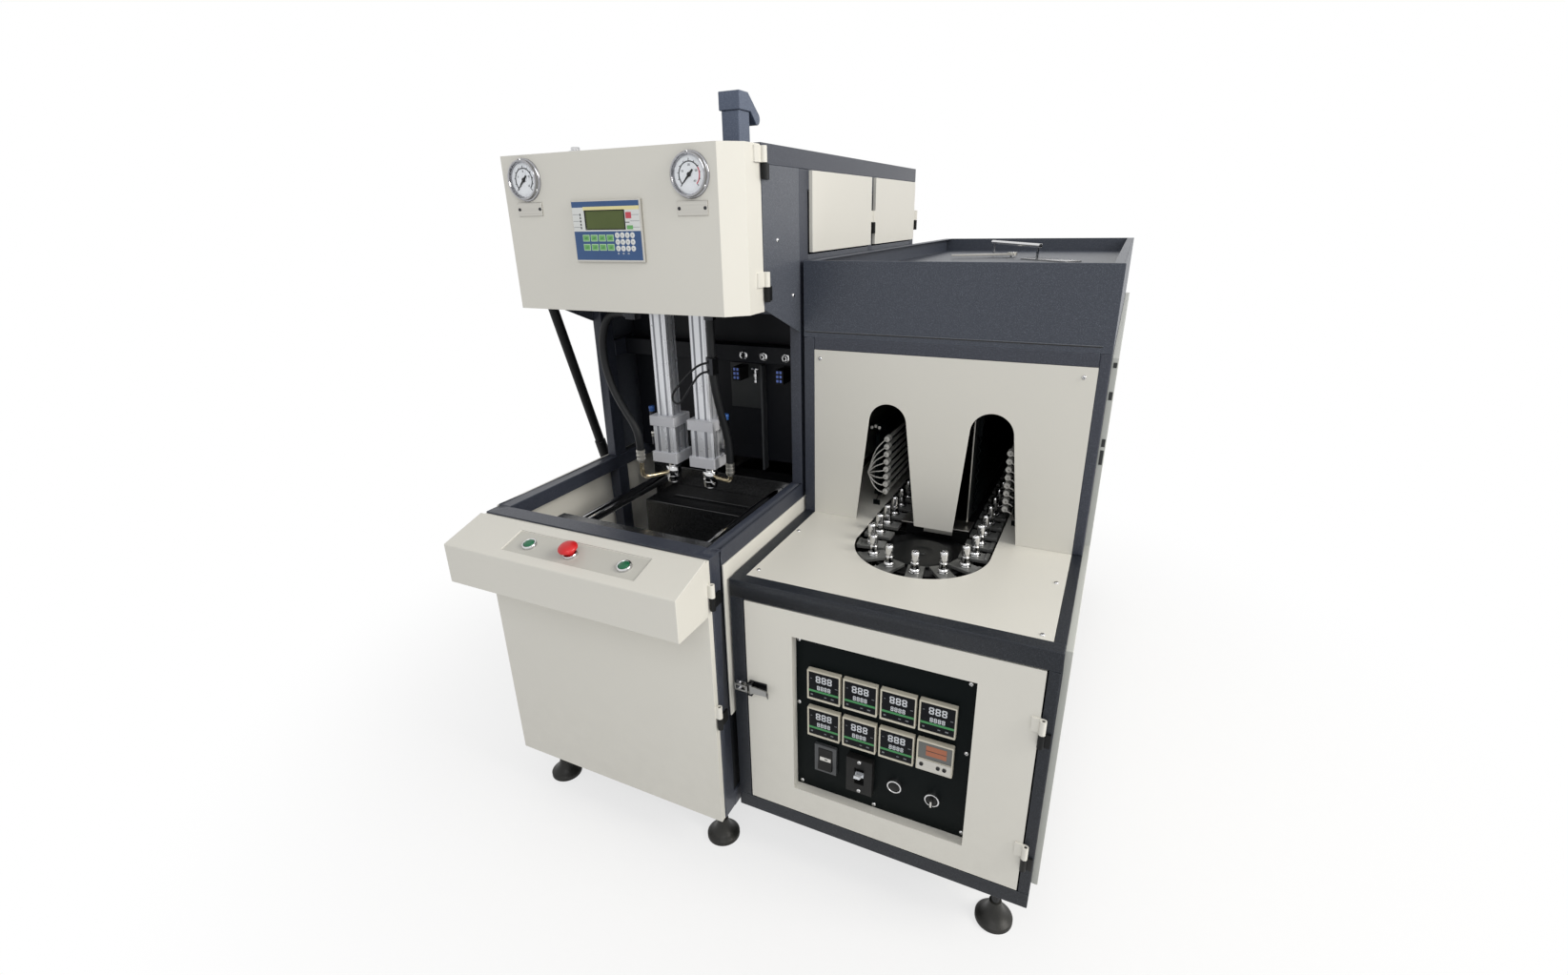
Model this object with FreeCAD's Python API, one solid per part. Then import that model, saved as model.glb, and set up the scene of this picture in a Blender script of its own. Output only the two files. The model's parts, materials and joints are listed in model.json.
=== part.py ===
import FreeCAD, Part
import math
import os

# Two-cavity blow moulding machine: a blow unit on the left and a preform heater on the right.
# Millimetres. While the pieces are made, X runs right from the heater's left frame edge, Y back
# from the heater's lower front and Z up from the floor. At the end everything is shifted so that
# the origin is on the floor, in the middle of the machine's footprint.

os.makedirs("parts", exist_ok=True)
V = FreeCAD.Vector

# ---- blow unit, driving dimensions ----
blow_left, blow_right = -586.0, -8.0
blow_front, blow_back = -50.0, 1236.0
blow_middle = (blow_left + blow_right) / 2
frame_bottom = 128.0
rail_top = 768.0
rail_side = 35.0
main_tube = 40.0
rail_width = 30.0
post_front = 372.0
post_width, post_depth = 26.0, 45.0
roof_top = 1490.0
roof_lip = 36.0
head_back = 207.0
sheet = 3.0

door_front_y = -64.0
door_right = -10.5
bar_front_y = -168.0
bar_back_top, bar_front_top, bar_bottom = 770.0, 740.0, 650.0
bar_right = -9.0
button_x = (-394.0, -287.5, -156.0)
button_y = -118.0

head_left, head_right = -584.0, -9.0
head_front, head_corner = 110.0, 36.0
head_bottom, head_top = 1190.0, 1487.0
gauge_centres = ((-489.0, 1441.0), (-100.0, 1436.0))
gauge_flange = 40.0
controller_x = (-376.0, -210.0)
controller_z = (1287.0, 1400.0)

cylinder_x = (-348.0, -240.0)
cylinder_y = 336.0
plate_under = 1180.0
upper_tube, lower_tube, block_size = 44.0, 64.0, 72.0
collar_z, lower_tube_z, cap_z = (893.0, 917.0), (826.0, 893.0), (800.0, 826.0)
rod_radius, shaft_radius, nozzle_radius = 6.0, 12.0, 19.0
running_gap = 0.05

bar_radius = 15.0
tie_bar_x = (-472.0, -122.0)
tie_bar_z = (690.0, 510.0)
front_platen_y = (40.0, 98.0)
rear_platen_y = (480.0, 540.0)
platen_x = (-518.0, -76.0)
platen_z = (471.0, 720.0)
clamp_z = 600.0
piston_radius, piston_bore = 35.0, 35.05

# ---- preform heater, driving dimensions ----
heater_width, heater_back = 620.0, 1650.0
left_post, right_post = 30.0, 20.0
table_top = 703.0
upper_front = 372.0
chamber_top = 1116.0
hood_top = 1276.0
table_x = (25.0, 600.0)
turn_front = (309.0, 288.0)
turn_rear_y = 1192.0
cut_radius = 143.0
pitch_radius = 108.0
sprocket_teeth = 12
straight_pitches = 16
plate_top = 697.0
lamp_x = (170.0, 448.0)
lamp_first_z, lamp_pitch, lamps_per_bank = 744.0, 18.7, 8

heater_door_x = (32.5, 597.5)
heater_door_z = (165.5, 661.5)
window_x, window_z = (135.0, 490.0), (228.0, 605.0)
panel_y = 20.0
instrument_x = (198.0, 273.5, 349.0, 424.0)
instrument_z = (498.0, 408.0)
instrument_size = 72.0
rocker_centre = (201.5, 318.0)
breaker_centre = (277.5, 310.0)
push_centre = (349.0, 307.0)
selector_centre = (424.5, 304.0)

# ---- shared parts ----
hinge_radius, hinge_pin, hinge_half = 6.0, 3.0, 28.0
foot_pad_radius = 38.0
foot_places = ((-537, 10), (-57, 10), (-537, 1176), (-57, 1176),
               (61, 165), (559, 59), (61, 1591), (559, 1591))
stud_sides, few_sides, hinge_sides, bar_sides, wide_sides = 5, 6, 10, 12, 18

pieces = {}
hanging = ("air_hose_left", "air_hose_right", "sensor_cable")


# ---- shapes ----
def block(x, y, z):
    return Part.makeBox(x[1] - x[0], y[1] - y[0], z[1] - z[0], V(x[0], y[0], z[0]))


def rod(radius, start, end):
    start, end = V(*start), V(*end)
    return Part.makeCylinder(radius, (end - start).Length, start, end - start)


def ring(radius, height, sides):
    """Corners of a regular outline round the z axis."""
    turns = [2 * math.pi * (side + 0.5) / sides for side in range(sides)]
    return [V(radius * math.cos(turn), radius * math.sin(turn), height) for turn in turns]


def faceted(profile, sides, centre, axis=(0, 0, 1)):
    """A turned piece with flat sides, for the small rounds that repeat."""
    faces = []
    for (radius, height), (next_radius, next_height) in zip(profile, profile[1:] + profile[:1]):
        lower, upper = ring(radius, height, sides), ring(next_radius, next_height, sides)
        if radius > 0 and next_radius > 0:
            for side in range(sides):
                corners = [lower[side - 1], lower[side], upper[side], upper[side - 1]]
                faces.append(Part.Face(Part.makePolygon(corners + corners[:1])))
        elif radius > 0 or next_radius > 0:
            cap = lower if radius > 0 else upper
            faces.append(Part.Face(Part.makePolygon(cap + cap[:1])))
    solid = Part.makeSolid(Part.makeShell(faces))
    if solid.Volume < 0:
        solid.reverse()
    solid.Placement = FreeCAD.Placement(V(*centre), FreeCAD.Rotation(V(0, 0, 1), V(*axis)))
    return solid.removeSplitter()


def flat_rod(radius, start, end, sides=bar_sides):
    along = V(*end) - V(*start)
    profile = [(0, 0), (radius, 0), (radius, along.Length), (0, along.Length)]
    return faceted(profile, sides, start, tuple(along))


def prism(points, along):
    corners = [V(*point) for point in points]
    return Part.Face(Part.makePolygon(corners + corners[:1])).extrude(V(*along))


def tray(x, y, z, wall, open_side):
    """A folded sheet tray: five walls of a box, open on the side that is named."""
    limits = {"x": list(x), "y": list(y), "z": list(z)}
    inner = {axis: [low + wall, high - wall] for axis, (low, high) in limits.items()}
    axis, end = open_side[0], 0 if open_side[1] == "-" else 1
    inner[axis][end] = limits[axis][end]
    return block(x, y, z).cut(block(inner["x"], inner["y"], inner["z"]))


def rounded(shape, radius, chosen):
    """Fillet the edges whose middle point passes the test."""
    edges = [edge for edge in shape.Edges if chosen(edge, edge.CenterOfMass)]
    return shape.makeFillet(radius, edges)


def runs_along(edge, axis):
    first, last = edge.Vertexes[0].Point, edge.Vertexes[-1].Point
    return abs(abs((last - first).normalize().dot(V(*axis))) - 1) < 1e-6


def routed_tube(points, radius, name, sides=few_sides):
    """A bent tube: straight runs joined by tangent arcs, each arc as large as its runs allow."""
    points = [V(*point) for point in points]
    edges, last, radii = [], points[0], []
    for before, corner, after in zip(points, points[1:], points[2:]):
        inward, outward = corner - before, after - corner
        half_turn = inward.getAngle(outward) / 2
        reach = 0.45 * min(inward.Length, outward.Length)
        inward.normalize()
        outward.normalize()
        start, end = corner - inward * reach, corner + outward * reach
        radii.append(reach / math.tan(half_turn))
        bisector = (outward - inward).normalize()
        centre = corner + bisector * (radii[-1] / math.cos(half_turn))
        edges.append(Part.LineSegment(last, start).toShape())
        edges.append(Part.Arc(start, centre - bisector * radii[-1], end).toShape())
        last = end
    edges.append(Part.LineSegment(last, points[-1]).toShape())
    path = Part.Wire(edges)
    seat = FreeCAD.Placement(points[0], FreeCAD.Rotation(V(0, 0, 1), points[1] - points[0]))
    corners = [seat.multVec(corner) for corner in ring(radius, 0, sides)]
    solid = path.makePipeShell([Part.makePolygon(corners + corners[:1])], True, False)
    expected = sides / 2 * radius ** 2 * math.sin(2 * math.pi / sides) * path.Length
    print(name, "least radius %.0f" % min(radii), "length %.0f" % path.Length,
          "volume ratio %.3f" % (solid.Volume / expected))
    return solid


def group(*shapes):
    return Part.makeCompound(list(shapes))


# ---- blow unit: frames and panels ----
def foot_lug(place):
    x, y = place
    lug = block((x - 40, x + 40), (y - 40, y + 40), (frame_bottom - 8, frame_bottom))
    return lug.cut(flat_rod(8.2, (x, y, frame_bottom - 9), (x, y, frame_bottom + 1), few_sides))


def blow_base_frame():
    left_tube = (blow_left, blow_left + main_tube)
    right_tube = (blow_right - main_tube, blow_right)
    between = (left_tube[1], right_tube[0])
    front = (blow_front, blow_front + main_tube)
    back = (blow_back - main_tube, blow_back)
    side_run = (front[1], back[0])
    low = (frame_bottom, frame_bottom + main_tube)
    middle_post = (post_front, post_front + main_tube)
    cross_z, beam_z = (390, 430), (430, platen_z[0] - 1)
    solids = []
    for x in (left_tube, right_tube):
        solids += [block(x, front, (frame_bottom, rail_top)), block(x, back, (frame_bottom, rail_top))]
        solids.append(block(x, side_run, low))
    for x in ((blow_left, blow_left + rail_width), (blow_right - rail_width, blow_right)):
        solids.append(block(x, side_run, (rail_top - rail_side, rail_top)))
        solids.append(block(x, middle_post, (low[1], rail_top - rail_side)))
    for y in (front, back):
        solids += [block(between, y, low), block(between, y, (rail_top - main_tube, rail_top))]
        solids.append(block(between, y, cross_z))
    solids.append(block((blow_left + rail_width, blow_right - rail_width), middle_post, cross_z))
    solids.append(block((blow_left + 54, blow_left + 94), (blow_front + 2, blow_back - 2), beam_z))
    solids.append(block((blow_right - 94, blow_right - 54), (blow_front + 2, blow_back - 2), beam_z))
    ledge_x, ledge_z = (blow_right - rail_width - 12, blow_right - rail_width), (rail_top - 36, rail_top - 22)
    solids.append(block(ledge_x, (front[1], post_front), ledge_z))
    solids += [foot_lug(place) for place in foot_places[:4]]
    return group(*solids)


def blow_upper_frame():
    left = (blow_left, blow_left + post_width)
    right = (blow_right - post_width, blow_right)
    inside = (left[1], right[0])
    top = roof_top - roof_lip
    rail_z = (top - main_tube, top)
    front = (post_front, post_front + post_depth)
    back = (blow_back - main_tube, blow_back)
    beam_y, beam_z = (460, 500), (1030, 1072)
    solids = []
    for x in (left, right):
        solids += [block(x, front, (rail_top, top)), block(x, back, (rail_top, top))]
        solids.append(block(x, (front[1], back[0]), rail_z))
        solids.append(block(x, (front[1], back[0]), beam_z))
    solids.append(block(right, (809, 838), (beam_z[1], rail_z[0])))
    solids += [block(inside, back, rail_z), block(inside, front, rail_z), block(inside, beam_y, beam_z)]
    mount_x = (blow_left + sheet, blow_right - sheet)
    mount = block(mount_x, (245, post_front), (plate_under, plate_under + 12))
    for x in cylinder_x:
        mount = mount.cut(flat_rod(14, (x, cylinder_y, plate_under - 1), (x, cylinder_y, plate_under + 13)))
    solids.append(mount)
    return group(*solids)


def column_top_cover():
    return tray((blow_left, blow_right), (head_back, blow_back), (roof_top - roof_lip, roof_top), 2.5, "z-")


def gusset(x):
    outline = [(x, head_back, roof_top - roof_lip), (x, post_front, roof_top - roof_lip),
               (x, post_front, 1126), (x, 361, 1130), (x, head_back, 1193)]
    return prism(outline, (sheet, 0, 0))


def column_dark_panels():
    top = roof_top - roof_lip
    inside = (blow_left + post_width, blow_right - post_width)
    liner_x = (inside[1] - sheet, inside[1])
    solids = [gusset(blow_left), gusset(blow_right - sheet)]
    solids.append(block(liner_x, (post_front + post_depth, blow_back - main_tube), (rail_top, 1030)))
    solids.append(block((blow_right - sheet, blow_right), (417, 809), (1072, 1286)))
    solids.append(block((blow_right - sheet, blow_right), (838, 1196), (1072, 1286)))
    solids.append(block(inside, (1200, 1200 + sheet), (rail_top, top - main_tube)))
    solids.append(block((inside[0], liner_x[0]), (500, 500 + sheet), (rail_top, 1414)))
    solids.append(block((-540, -54), (1200, 1200 + sheet), (470, 728)))
    return group(*solids)


def blow_side_panels():
    hung_y, flush_y = (blow_front + main_tube, blow_back), (post_front + post_depth, blow_back - main_tube)
    hung = tray((blow_left - 10, blow_left), hung_y, (140, rail_top - 2), 2.0, "x+")
    slim = block((blow_right, blow_right + 4), (blow_front + main_tube, blow_back), (378, 735))
    upper = block((blow_left, blow_left + sheet), flush_y, (rail_top, 1030))
    high = block((blow_left, blow_left + sheet), flush_y, (1072, 1414))
    return group(hung, slim, upper, high)


def lifting_post():
    """The roof post: a square tube under a fairing whose nose slopes down to the back."""
    post = block((-155, -113), (322, 366), (roof_top, 1562))
    post = post.makeChamfer(2.5, [edge for edge in post.Edges if runs_along(edge, (0, 0, 1))])
    side = [V(-158, 319, 1562), V(-158, 319, 1596), V(-158, 356, 1596), V(-158, 402, 1560)]
    nose = Part.Arc(side[3], V(-158, 403, 1545), V(-158, 388, 1541)).toShape()
    edges = [Part.LineSegment(a, b).toShape() for a, b in zip(side, side[1:])] + [nose]
    edges.append(Part.LineSegment(V(-158, 388, 1541), V(-158, 366, 1562)).toShape())
    edges.append(Part.LineSegment(V(-158, 366, 1562), side[0]).toShape())
    fairing = Part.Face(Part.Wire(edges)).extrude(V(48, 0, 0))
    return group(post, fairing)


def side_conduit():
    """A stiff conduit outside the left side, with its sleeve and two clamp brackets."""
    top, joint = V(-615, 269, 1173), V(-615, 379, 805)
    end = joint + (joint - top) * 0.16
    brackets = [block((-633, blow_left), (250, 288), (1176, 1190))]
    brackets.append(block((-633, blow_left - 10), (380, 412), (722, 744)))
    conduit = flat_rod(12, top, joint)
    sleeve = flat_rod(14.5, joint, end)
    return group(conduit.cut(brackets[0]), sleeve.cut(brackets[1]), *brackets)


# ---- blow unit: clamp and cylinders ----
def front_platen():
    plate = block(platen_x, front_platen_y, platen_z)
    corners = lambda edge, middle: runs_along(edge, (0, 1, 0)) and middle.z > platen_z[1] - 1
    plate = plate.makeChamfer(15, [edge for edge in plate.Edges if corners(edge, edge.CenterOfMass)])
    for x in tie_bar_x:
        for z in tie_bar_z:
            plate = plate.cut(flat_rod(bar_radius, (x, 0, z), (x, 200, z)))
    return plate


def tie_bars():
    """Four tie bars from the front platen through the rear platen to the crosshead, and its piston rod."""
    crosshead_y = (900, 940)
    crosshead = block(platen_x, crosshead_y, (490, 712))
    solids = []
    for x in tie_bar_x:
        for z in tie_bar_z:
            bar = flat_rod(bar_radius, (x, front_platen_y[0] - 8, z), (x, crosshead_y[1] + 12, z))
            crosshead = crosshead.cut(bar)
            solids.append(bar)
    piston_ends = (blow_middle, 640, clamp_z), (blow_middle, crosshead_y[0], clamp_z)
    solids += [crosshead, flat_rod(piston_radius, *piston_ends, wide_sides)]
    return group(*solids)


def rear_platen():
    """The fixed platen, and the lower mould carrier in front of it with its locating slot."""
    plate = block(platen_x, rear_platen_y, (470, platen_z[1]))
    for x in tie_bar_x:
        for z in tie_bar_z:
            plate = plate.cut(flat_rod(bar_radius + running_gap, (x, 400, z), (x, 600, z)))
    carrier = block((-455, -139), (346, rear_platen_y[0]), (470, 668))
    carrier = carrier.cut(block((-400, -139), (392, 408), (656, 669)))
    return group(plate, carrier)


def clamp_cylinder():
    face = rear_platen_y[1]
    profile = [(0, 0), (110, 0), (110, 24), (90, 24), (90, 270), (98, 270), (98, 300), (piston_bore, 300),
               (piston_bore, 90), (0, 90)]
    return faceted(profile, wide_sides, (blow_middle, face, clamp_z), (0, 1, 0))


def ribbed_tube(x, size, bore, z):
    """An extruded cylinder tube: a square with cut corners and two V grooves down each face."""
    half, corner, groove, depth = size / 2, size * 0.08, size * 0.06, size * 0.05
    side = [(corner - half, -half)]
    for offset in (-0.22 * size, 0.22 * size):
        side += [(offset - groove, -half), (offset, depth - half), (offset + groove, -half)]
    side.append((half - corner, -half))
    outline = []
    for quarter in range(4):
        outline += [(x + across, cylinder_y + out, z[0]) for across, out in side]
        side = [(-out, across) for across, out in side]
    solid = prism(outline, (0, 0, z[1] - z[0]))
    return solid.cut(flat_rod(bore, (x, cylinder_y, z[0] - 1), (x, cylinder_y, z[1] + 1), few_sides))


def cylinder_tubes():
    solids = []
    for x in cylinder_x:
        solids.append(ribbed_tube(x, upper_tube, rod_radius + 4, (collar_z[1], plate_under)))
        solids.append(ribbed_tube(x, lower_tube, shaft_radius + 2, lower_tube_z))
    return group(*solids)


def cylinder_blocks():
    solids = []
    half = block_size / 2
    for x in cylinder_x:
        for z, bore in ((collar_z, rod_radius), (cap_z, shaft_radius)):
            solid = block((x - half, x + half), (cylinder_y - half, cylinder_y + half), z)
            solid = solid.makeChamfer(2, [edge for edge in solid.Edges if runs_along(edge, (0, 0, 1))])
            through = (x, cylinder_y, z[0] - 1), (x, cylinder_y, z[1] + 1)
            solids.append(solid.cut(flat_rod(bore + running_gap, *through)))
    return group(*solids)


left_crimp, right_crimp = (-388.0, 260.0), (-166.0, 308.0)
crimp_top = {left_crimp: 842.0, right_crimp: 822.0}


def blow_nozzles():
    """Two nozzles with their hollow shafts, and the brass pipes with the hose crimps that they carry."""
    solids = []
    for x in cylinder_x:
        profile = [(rod_radius + running_gap, 738), (13, 738), (nozzle_radius, 744), (nozzle_radius, 784),
                   (shaft_radius, 784), (shaft_radius, 878), (rod_radius + running_gap, 878)]
        solids.append(faceted(profile, bar_sides, (x, cylinder_y, 0)))
    routes = ((left_crimp, cylinder_x[0], 768, "left pipe"), (right_crimp, cylinder_x[1], 772, "right pipe"))
    for index, (crimp, nozzle_x, low, name) in enumerate(routes):
        top = crimp_top[crimp]
        solids.append(flat_rod(11, (crimp[0], crimp[1], top - 32), (crimp[0], crimp[1], top), few_sides))
        away = V(crimp[0] - nozzle_x, crimp[1] - cylinder_y, 0).normalize() * (nozzle_radius - 2)
        end = (nozzle_x + away.x, cylinder_y + away.y, low)
        pipe = routed_tube([(crimp[0], crimp[1], top - 32), (crimp[0], crimp[1], low), end], 5.5, name)
        solids[index] = solids[index].fuse(pipe)
    return group(*solids)


def stretch_rods():
    return group(*[flat_rod(rod_radius, (x, cylinder_y, 735.5), (x, cylinder_y, 1150)) for x in cylinder_x])


hose_radius = 9.0
left_hose_points = [(-396, 262, 1168), (-426, 262, 1168), (-453, 262, 1146), (-468, 262, 1106),
                    (-471, 262, 1062), (-464, 262, 1018), (-447, 261, 976), (-424, 261, 938),
                    (-401, 260, 908), (-388, 260, 876), (-388, 260, 842)]
right_hose_points = [(-171, 262, 1160), (-171, 262, 1116), (-174, 264, 1066), (-175, 272, 1014),
                     (-173, 286, 958), (-168, 301, 900), (-166, 308, 860), (-166, 308, 822)]
cable_radius = 2.5
cable_points = [(-168, 246.5, 1070), (-192, 246.5, 1070), (-238, 246, 1030), (-279, 246, 986),
                (-258, 246, 964), (-222, 246, 1012), (-192, 246.5, 1051), (-168, 246.5, 1051)]


def hose_glands():
    """An elbow and a straight fitting under the mounting plate, a clip on the right hose, push fittings."""
    elbow = block((-386, -360), (250, 274), (1154, plate_under))
    elbow = elbow.fuse(flat_rod(11, (-396, 262, 1167), (-386, 262, 1167), few_sides))
    straight = flat_rod(13, (-171, 262, 1160), (-171, 262, plate_under), few_sides)
    clip = flat_rod(13, (-173, 263, 1080), (-174, 265.5, 1044), few_sides)
    clip = clip.fuse(block((-168, -160), (244, 268), (1044, 1080)))
    clip = clip.cut(routed_tube(right_hose_points, hose_radius, "clip seat"))
    solids = [elbow, straight, clip]
    for x, toward in ((cylinder_x[0] - block_size / 2, -1), (cylinder_x[1] + block_size / 2, 1)):
        for z, start, reach in ((905, 0, 10), (840, -4, 9)):
            bend = x + toward * (reach + 6)
            stem = flat_rod(5, (x + toward * start, cylinder_y, z), (bend, cylinder_y, z), few_sides)
            upright = flat_rod(6.5, (bend, cylinder_y, z - 8), (bend, cylinder_y, z + 18), few_sides)
            solids.append(stem.fuse(upright))
    return group(*solids)


# ---- blow unit: front door with its control bar ----
door_hinge_x, door_hinge_y = -4.0, -56.5


def hinge_upper(x, y, z, leaf):
    """Upper half of a lift-off hinge: a bored barrel and the leaf that is welded to the door."""
    barrel = flat_rod(hinge_radius, (x, y, z), (x, y, z + hinge_half), hinge_sides)
    bore = rod(hinge_pin + running_gap, (x, y, z - 1), (x, y, z + hinge_half + 1))
    return barrel.fuse(block(leaf[0], leaf[1], (z, z + hinge_half))).cut(bore).removeSplitter()


def hinge_lower(x, y, z, leaf):
    """Lower half: a barrel with its leaf, and the pin that stands up into the upper half."""
    barrel = flat_rod(hinge_radius, (x, y, z - hinge_half), (x, y, z - 0.3), hinge_sides)
    pin = flat_rod(hinge_pin, (x, y, z - 2), (x, y, z + hinge_half - 2), hinge_sides)
    return barrel.fuse(block(leaf[0], leaf[1], (z - hinge_half, z - 0.3))).fuse(pin).removeSplitter()


front_hinge_z = (689.0, 406.0)
head_hinge_x, head_hinge_y = -2.0, 206.0
head_hinge_z = (1456.0, 1237.0)
side_hinge_x = -2.0
side_hinge_y = (829.0, 1229.0)
side_hinge_z = 1345.0
side_door_y = ((423.0, 807.0), (840.0, 1209.0))
side_door_z = (1290.0, 1452.0)
heater_hinge_x, heater_hinge_y = 603.0, -6.0
heater_hinge_z = (540.0, 256.0)


def hinge_lower_halves():
    solids = []
    for z in front_hinge_z:
        solids.append(hinge_lower(door_hinge_x, door_hinge_y, z, ((blow_right, blow_right + 4), (-56, -24))))
    for z in head_hinge_z:
        solids.append(hinge_lower(head_hinge_x, head_hinge_y, z, ((-8, -4), (head_back, head_back + 24))))
    for y in side_hinge_y:
        far = y + 8 if y < 1000 else y + 6
        solids.append(hinge_lower(side_hinge_x, y, side_hinge_z, ((-8, -5), (y - 4, far))))
    for z in heater_hinge_z:
        solids.append(hinge_lower(heater_hinge_x, heater_hinge_y, z, ((603, 618), (-4, 0))))
    return group(*solids)


def front_door():
    leaf = tray((blow_left, door_right), (door_front_y, blow_front), (frame_bottom, 764), 2.0, "y+")
    for z in front_hinge_z:
        leaf = leaf.fuse(hinge_upper(door_hinge_x, door_hinge_y, z, ((door_right - 2, -4), (-62, -58))))
    return leaf.removeSplitter()


bar_slope = V(0, bar_front_y - door_front_y, bar_front_top - bar_back_top).normalize()
bar_normal = V(0, bar_slope.z, -bar_slope.y)
recess_depth = 3.0


def bar_point(x, y, above=0.0):
    """A point over the bar's sloping top, measured square to the slope."""
    on_slope = V(x, y, bar_back_top + (y - door_front_y) * bar_slope.z / bar_slope.y)
    return on_slope + bar_normal * above


def on_bar(radius, x, low, high):
    return flat_rod(radius, tuple(bar_point(x, button_y, low)), tuple(bar_point(x, button_y, high)))


def control_bar():
    """The folded bar across the door, with a shallow sunk field and a bore under each button."""
    outline = [(blow_left, door_front_y, bar_back_top), (blow_left, bar_front_y, bar_front_top),
               (blow_left, bar_front_y, bar_bottom), (blow_left, door_front_y, bar_bottom)]
    bar = prism(outline, (bar_right - blow_left, 0, 0))
    front_edges = lambda edge, middle: runs_along(edge, (1, 0, 0)) and middle.y < bar_front_y + 1
    bar = rounded(bar, 4, front_edges)
    near, far = (-445, -86), (-114, -146)
    corners = [bar_point(x, y, -recess_depth) for x, y in (near, (far[0], near[1]), far, (near[0], far[1]))]
    bar = bar.cut(prism([tuple(corner) for corner in corners], tuple(bar_normal * 20)))
    for x in button_x:
        bar = bar.cut(on_bar(11.4, x, -16, 0))
    return bar


def button_collars():
    solids = []
    for x in button_x:
        solids.append(on_bar(15.5, x, -recess_depth, 3).cut(on_bar(11.4, x, -recess_depth - 1, 4)))
    return group(*solids)


def start_button(x):
    return on_bar(11, x, -9, 4).fuse(on_bar(8, x, 4, 5))


def emergency_stop():
    """A mushroom button: a stem in the collar under a wide domed cap."""
    profile = [(0, -9), (9.5, -9), (9.5, 9), (14, 9), (19.5, 13), (20, 17), (17, 21), (9, 23), (0, 23.5)]
    return faceted(profile, bar_sides, tuple(bar_point(button_x[1], button_y)), tuple(bar_normal))


# ---- blow unit: head cover and side doors ----
def head_outline(inset, z):
    diagonal = inset * math.tan(math.radians(22.5))
    left, right, front = head_left + inset, head_right - inset, head_front + inset
    corner = head_corner - inset + diagonal
    points = [(left, 205, z), (left, front + corner, z), (left + corner, front, z),
              (right - corner, front, z), (right, front + corner, z), (right, 205, z)]
    return points


def head_cover():
    """The folded head cover: flat front, two bevelled corners, closed top, open back and bottom."""
    cover = prism(head_outline(0, head_bottom), (0, 0, head_top - head_bottom))
    hollow = prism(head_outline(2.5, head_bottom - 1), (0, 0, head_top - head_bottom - 1.5))
    cover = cover.cut(hollow)
    back_x, back_z = (head_left + 2.5, head_right - 2.5), (head_bottom - 1, head_top - 2.5)
    cover = cover.cut(block(back_x, (200, 206), back_z))
    for x, z in gauge_centres:
        cover = cover.cut(flat_rod(32.2, (x, 100, z), (x, 120, z), wide_sides))
    cover = cover.cut(block((-366, -220), (100, 120), (1297, 1390)))
    for z in head_hinge_z:
        cover = cover.fuse(hinge_upper(head_hinge_x, head_hinge_y, z, ((head_right, -5), (176, 205))))
    return cover.removeSplitter()


def pressure_gauges():
    """Flanged dial gauges: rim, sunk dial and the case behind the cover."""
    profile = [(0, 4), (33, 4), (33, 11), (37, 11), (37, 3), (gauge_flange, 2), (gauge_flange, 0),
               (32, 0), (32, -40), (0, -40)]
    return group(*[faceted(profile, wide_sides, (x, head_front, z), (0, -1, 0)) for x, z in gauge_centres])


def gauge_pointer(centre):
    """A tapered pointer at zero, lower left, with its hub and the round end of its spindle."""
    x, z = centre
    y = head_front - 6.5
    hub = flat_rod(4, (x, y, z), (x, y + 1.5, z), hinge_sides).fuse(rod(1, (x, y - 1, z), (x, y, z)))
    outline = [(x - 19, y + 0.5, z - 19), (x + 2.2, y + 0.5, z - 1), (x + 9, y + 0.5, z + 7)]
    outline += [(x + 7, y + 0.5, z + 9), (x - 1, y + 0.5, z + 2.2)]
    return hub.fuse(prism(outline, (0, 0.7, 0)))


def controller():
    """The flat keypad controller: front frame, sunk display and the case behind."""
    front = block(controller_x, (head_front - 6, head_front), controller_z)
    front = front.makeChamfer(2, [edge for edge in front.Edges if runs_along(edge, (0, 1, 0))])
    front = front.cut(block((-341, -250), (head_front - 7, head_front - 4.5), (1347, 1381)))
    return front.fuse(block((-365, -221), (head_front, head_front + 45), (1298, 1389)))


def side_door(index):
    y, hinge = side_door_y[index], side_hinge_y[index]
    leaf = tray((blow_right, blow_right + 8), y, side_door_z, 1.5, "x-")
    strap = ((-5, -2), (y[1] - 2, hinge))
    return leaf.fuse(hinge_upper(side_hinge_x, hinge, side_hinge_z, strap)).removeSplitter()


# ---- heater: frame, table, covers ----
def heater_frame():
    """The welded heater frame: lower cabinet, chamber posts and the shelf under the drive."""
    left, right = (0, left_post), (heater_width - right_post, heater_width)
    slim_left = (0, table_x[0])
    across = (left[1], right[0])
    low, top = (frame_bottom, 163), (664, table_top)
    front, back = (0, 30), (heater_back - 30, heater_back)
    middle = (upper_front, upper_front + 30)
    solids = [block((0, heater_width), front, low), block((0, heater_width), (0, 27), top)]
    solids += [block(left, front, (low[1], top[0])), block(right, front, (low[1], top[0]))]
    solids += [block((0, heater_width), back, low), block((0, heater_width), back, top)]
    for x in (slim_left, right):
        solids += [block(x, (front[1], back[0]), low), block(x, (27, back[0]), top)]
        solids += [block(x, middle, (low[1], top[0])), block(x, back, (low[1], top[0]))]
        solids += [block(x, middle, (table_top, chamber_top)), block(x, back, (table_top, chamber_top))]
        solids.append(block(x, (middle[1], back[0]), (1090, chamber_top)))
        solids.append(block(x, (front[1], middle[0]), (400, 425)))
    inside = (slim_left[1], right[0])
    solids += [block(inside, middle, (1090, chamber_top)), block(inside, back, (1090, chamber_top))]
    solids += [block(inside, (200, 230), (400, 425)), block(inside, (342, 372), (400, 425))]
    solids += [foot_lug(place) for place in foot_places[4:]]
    return group(*solids)


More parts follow.
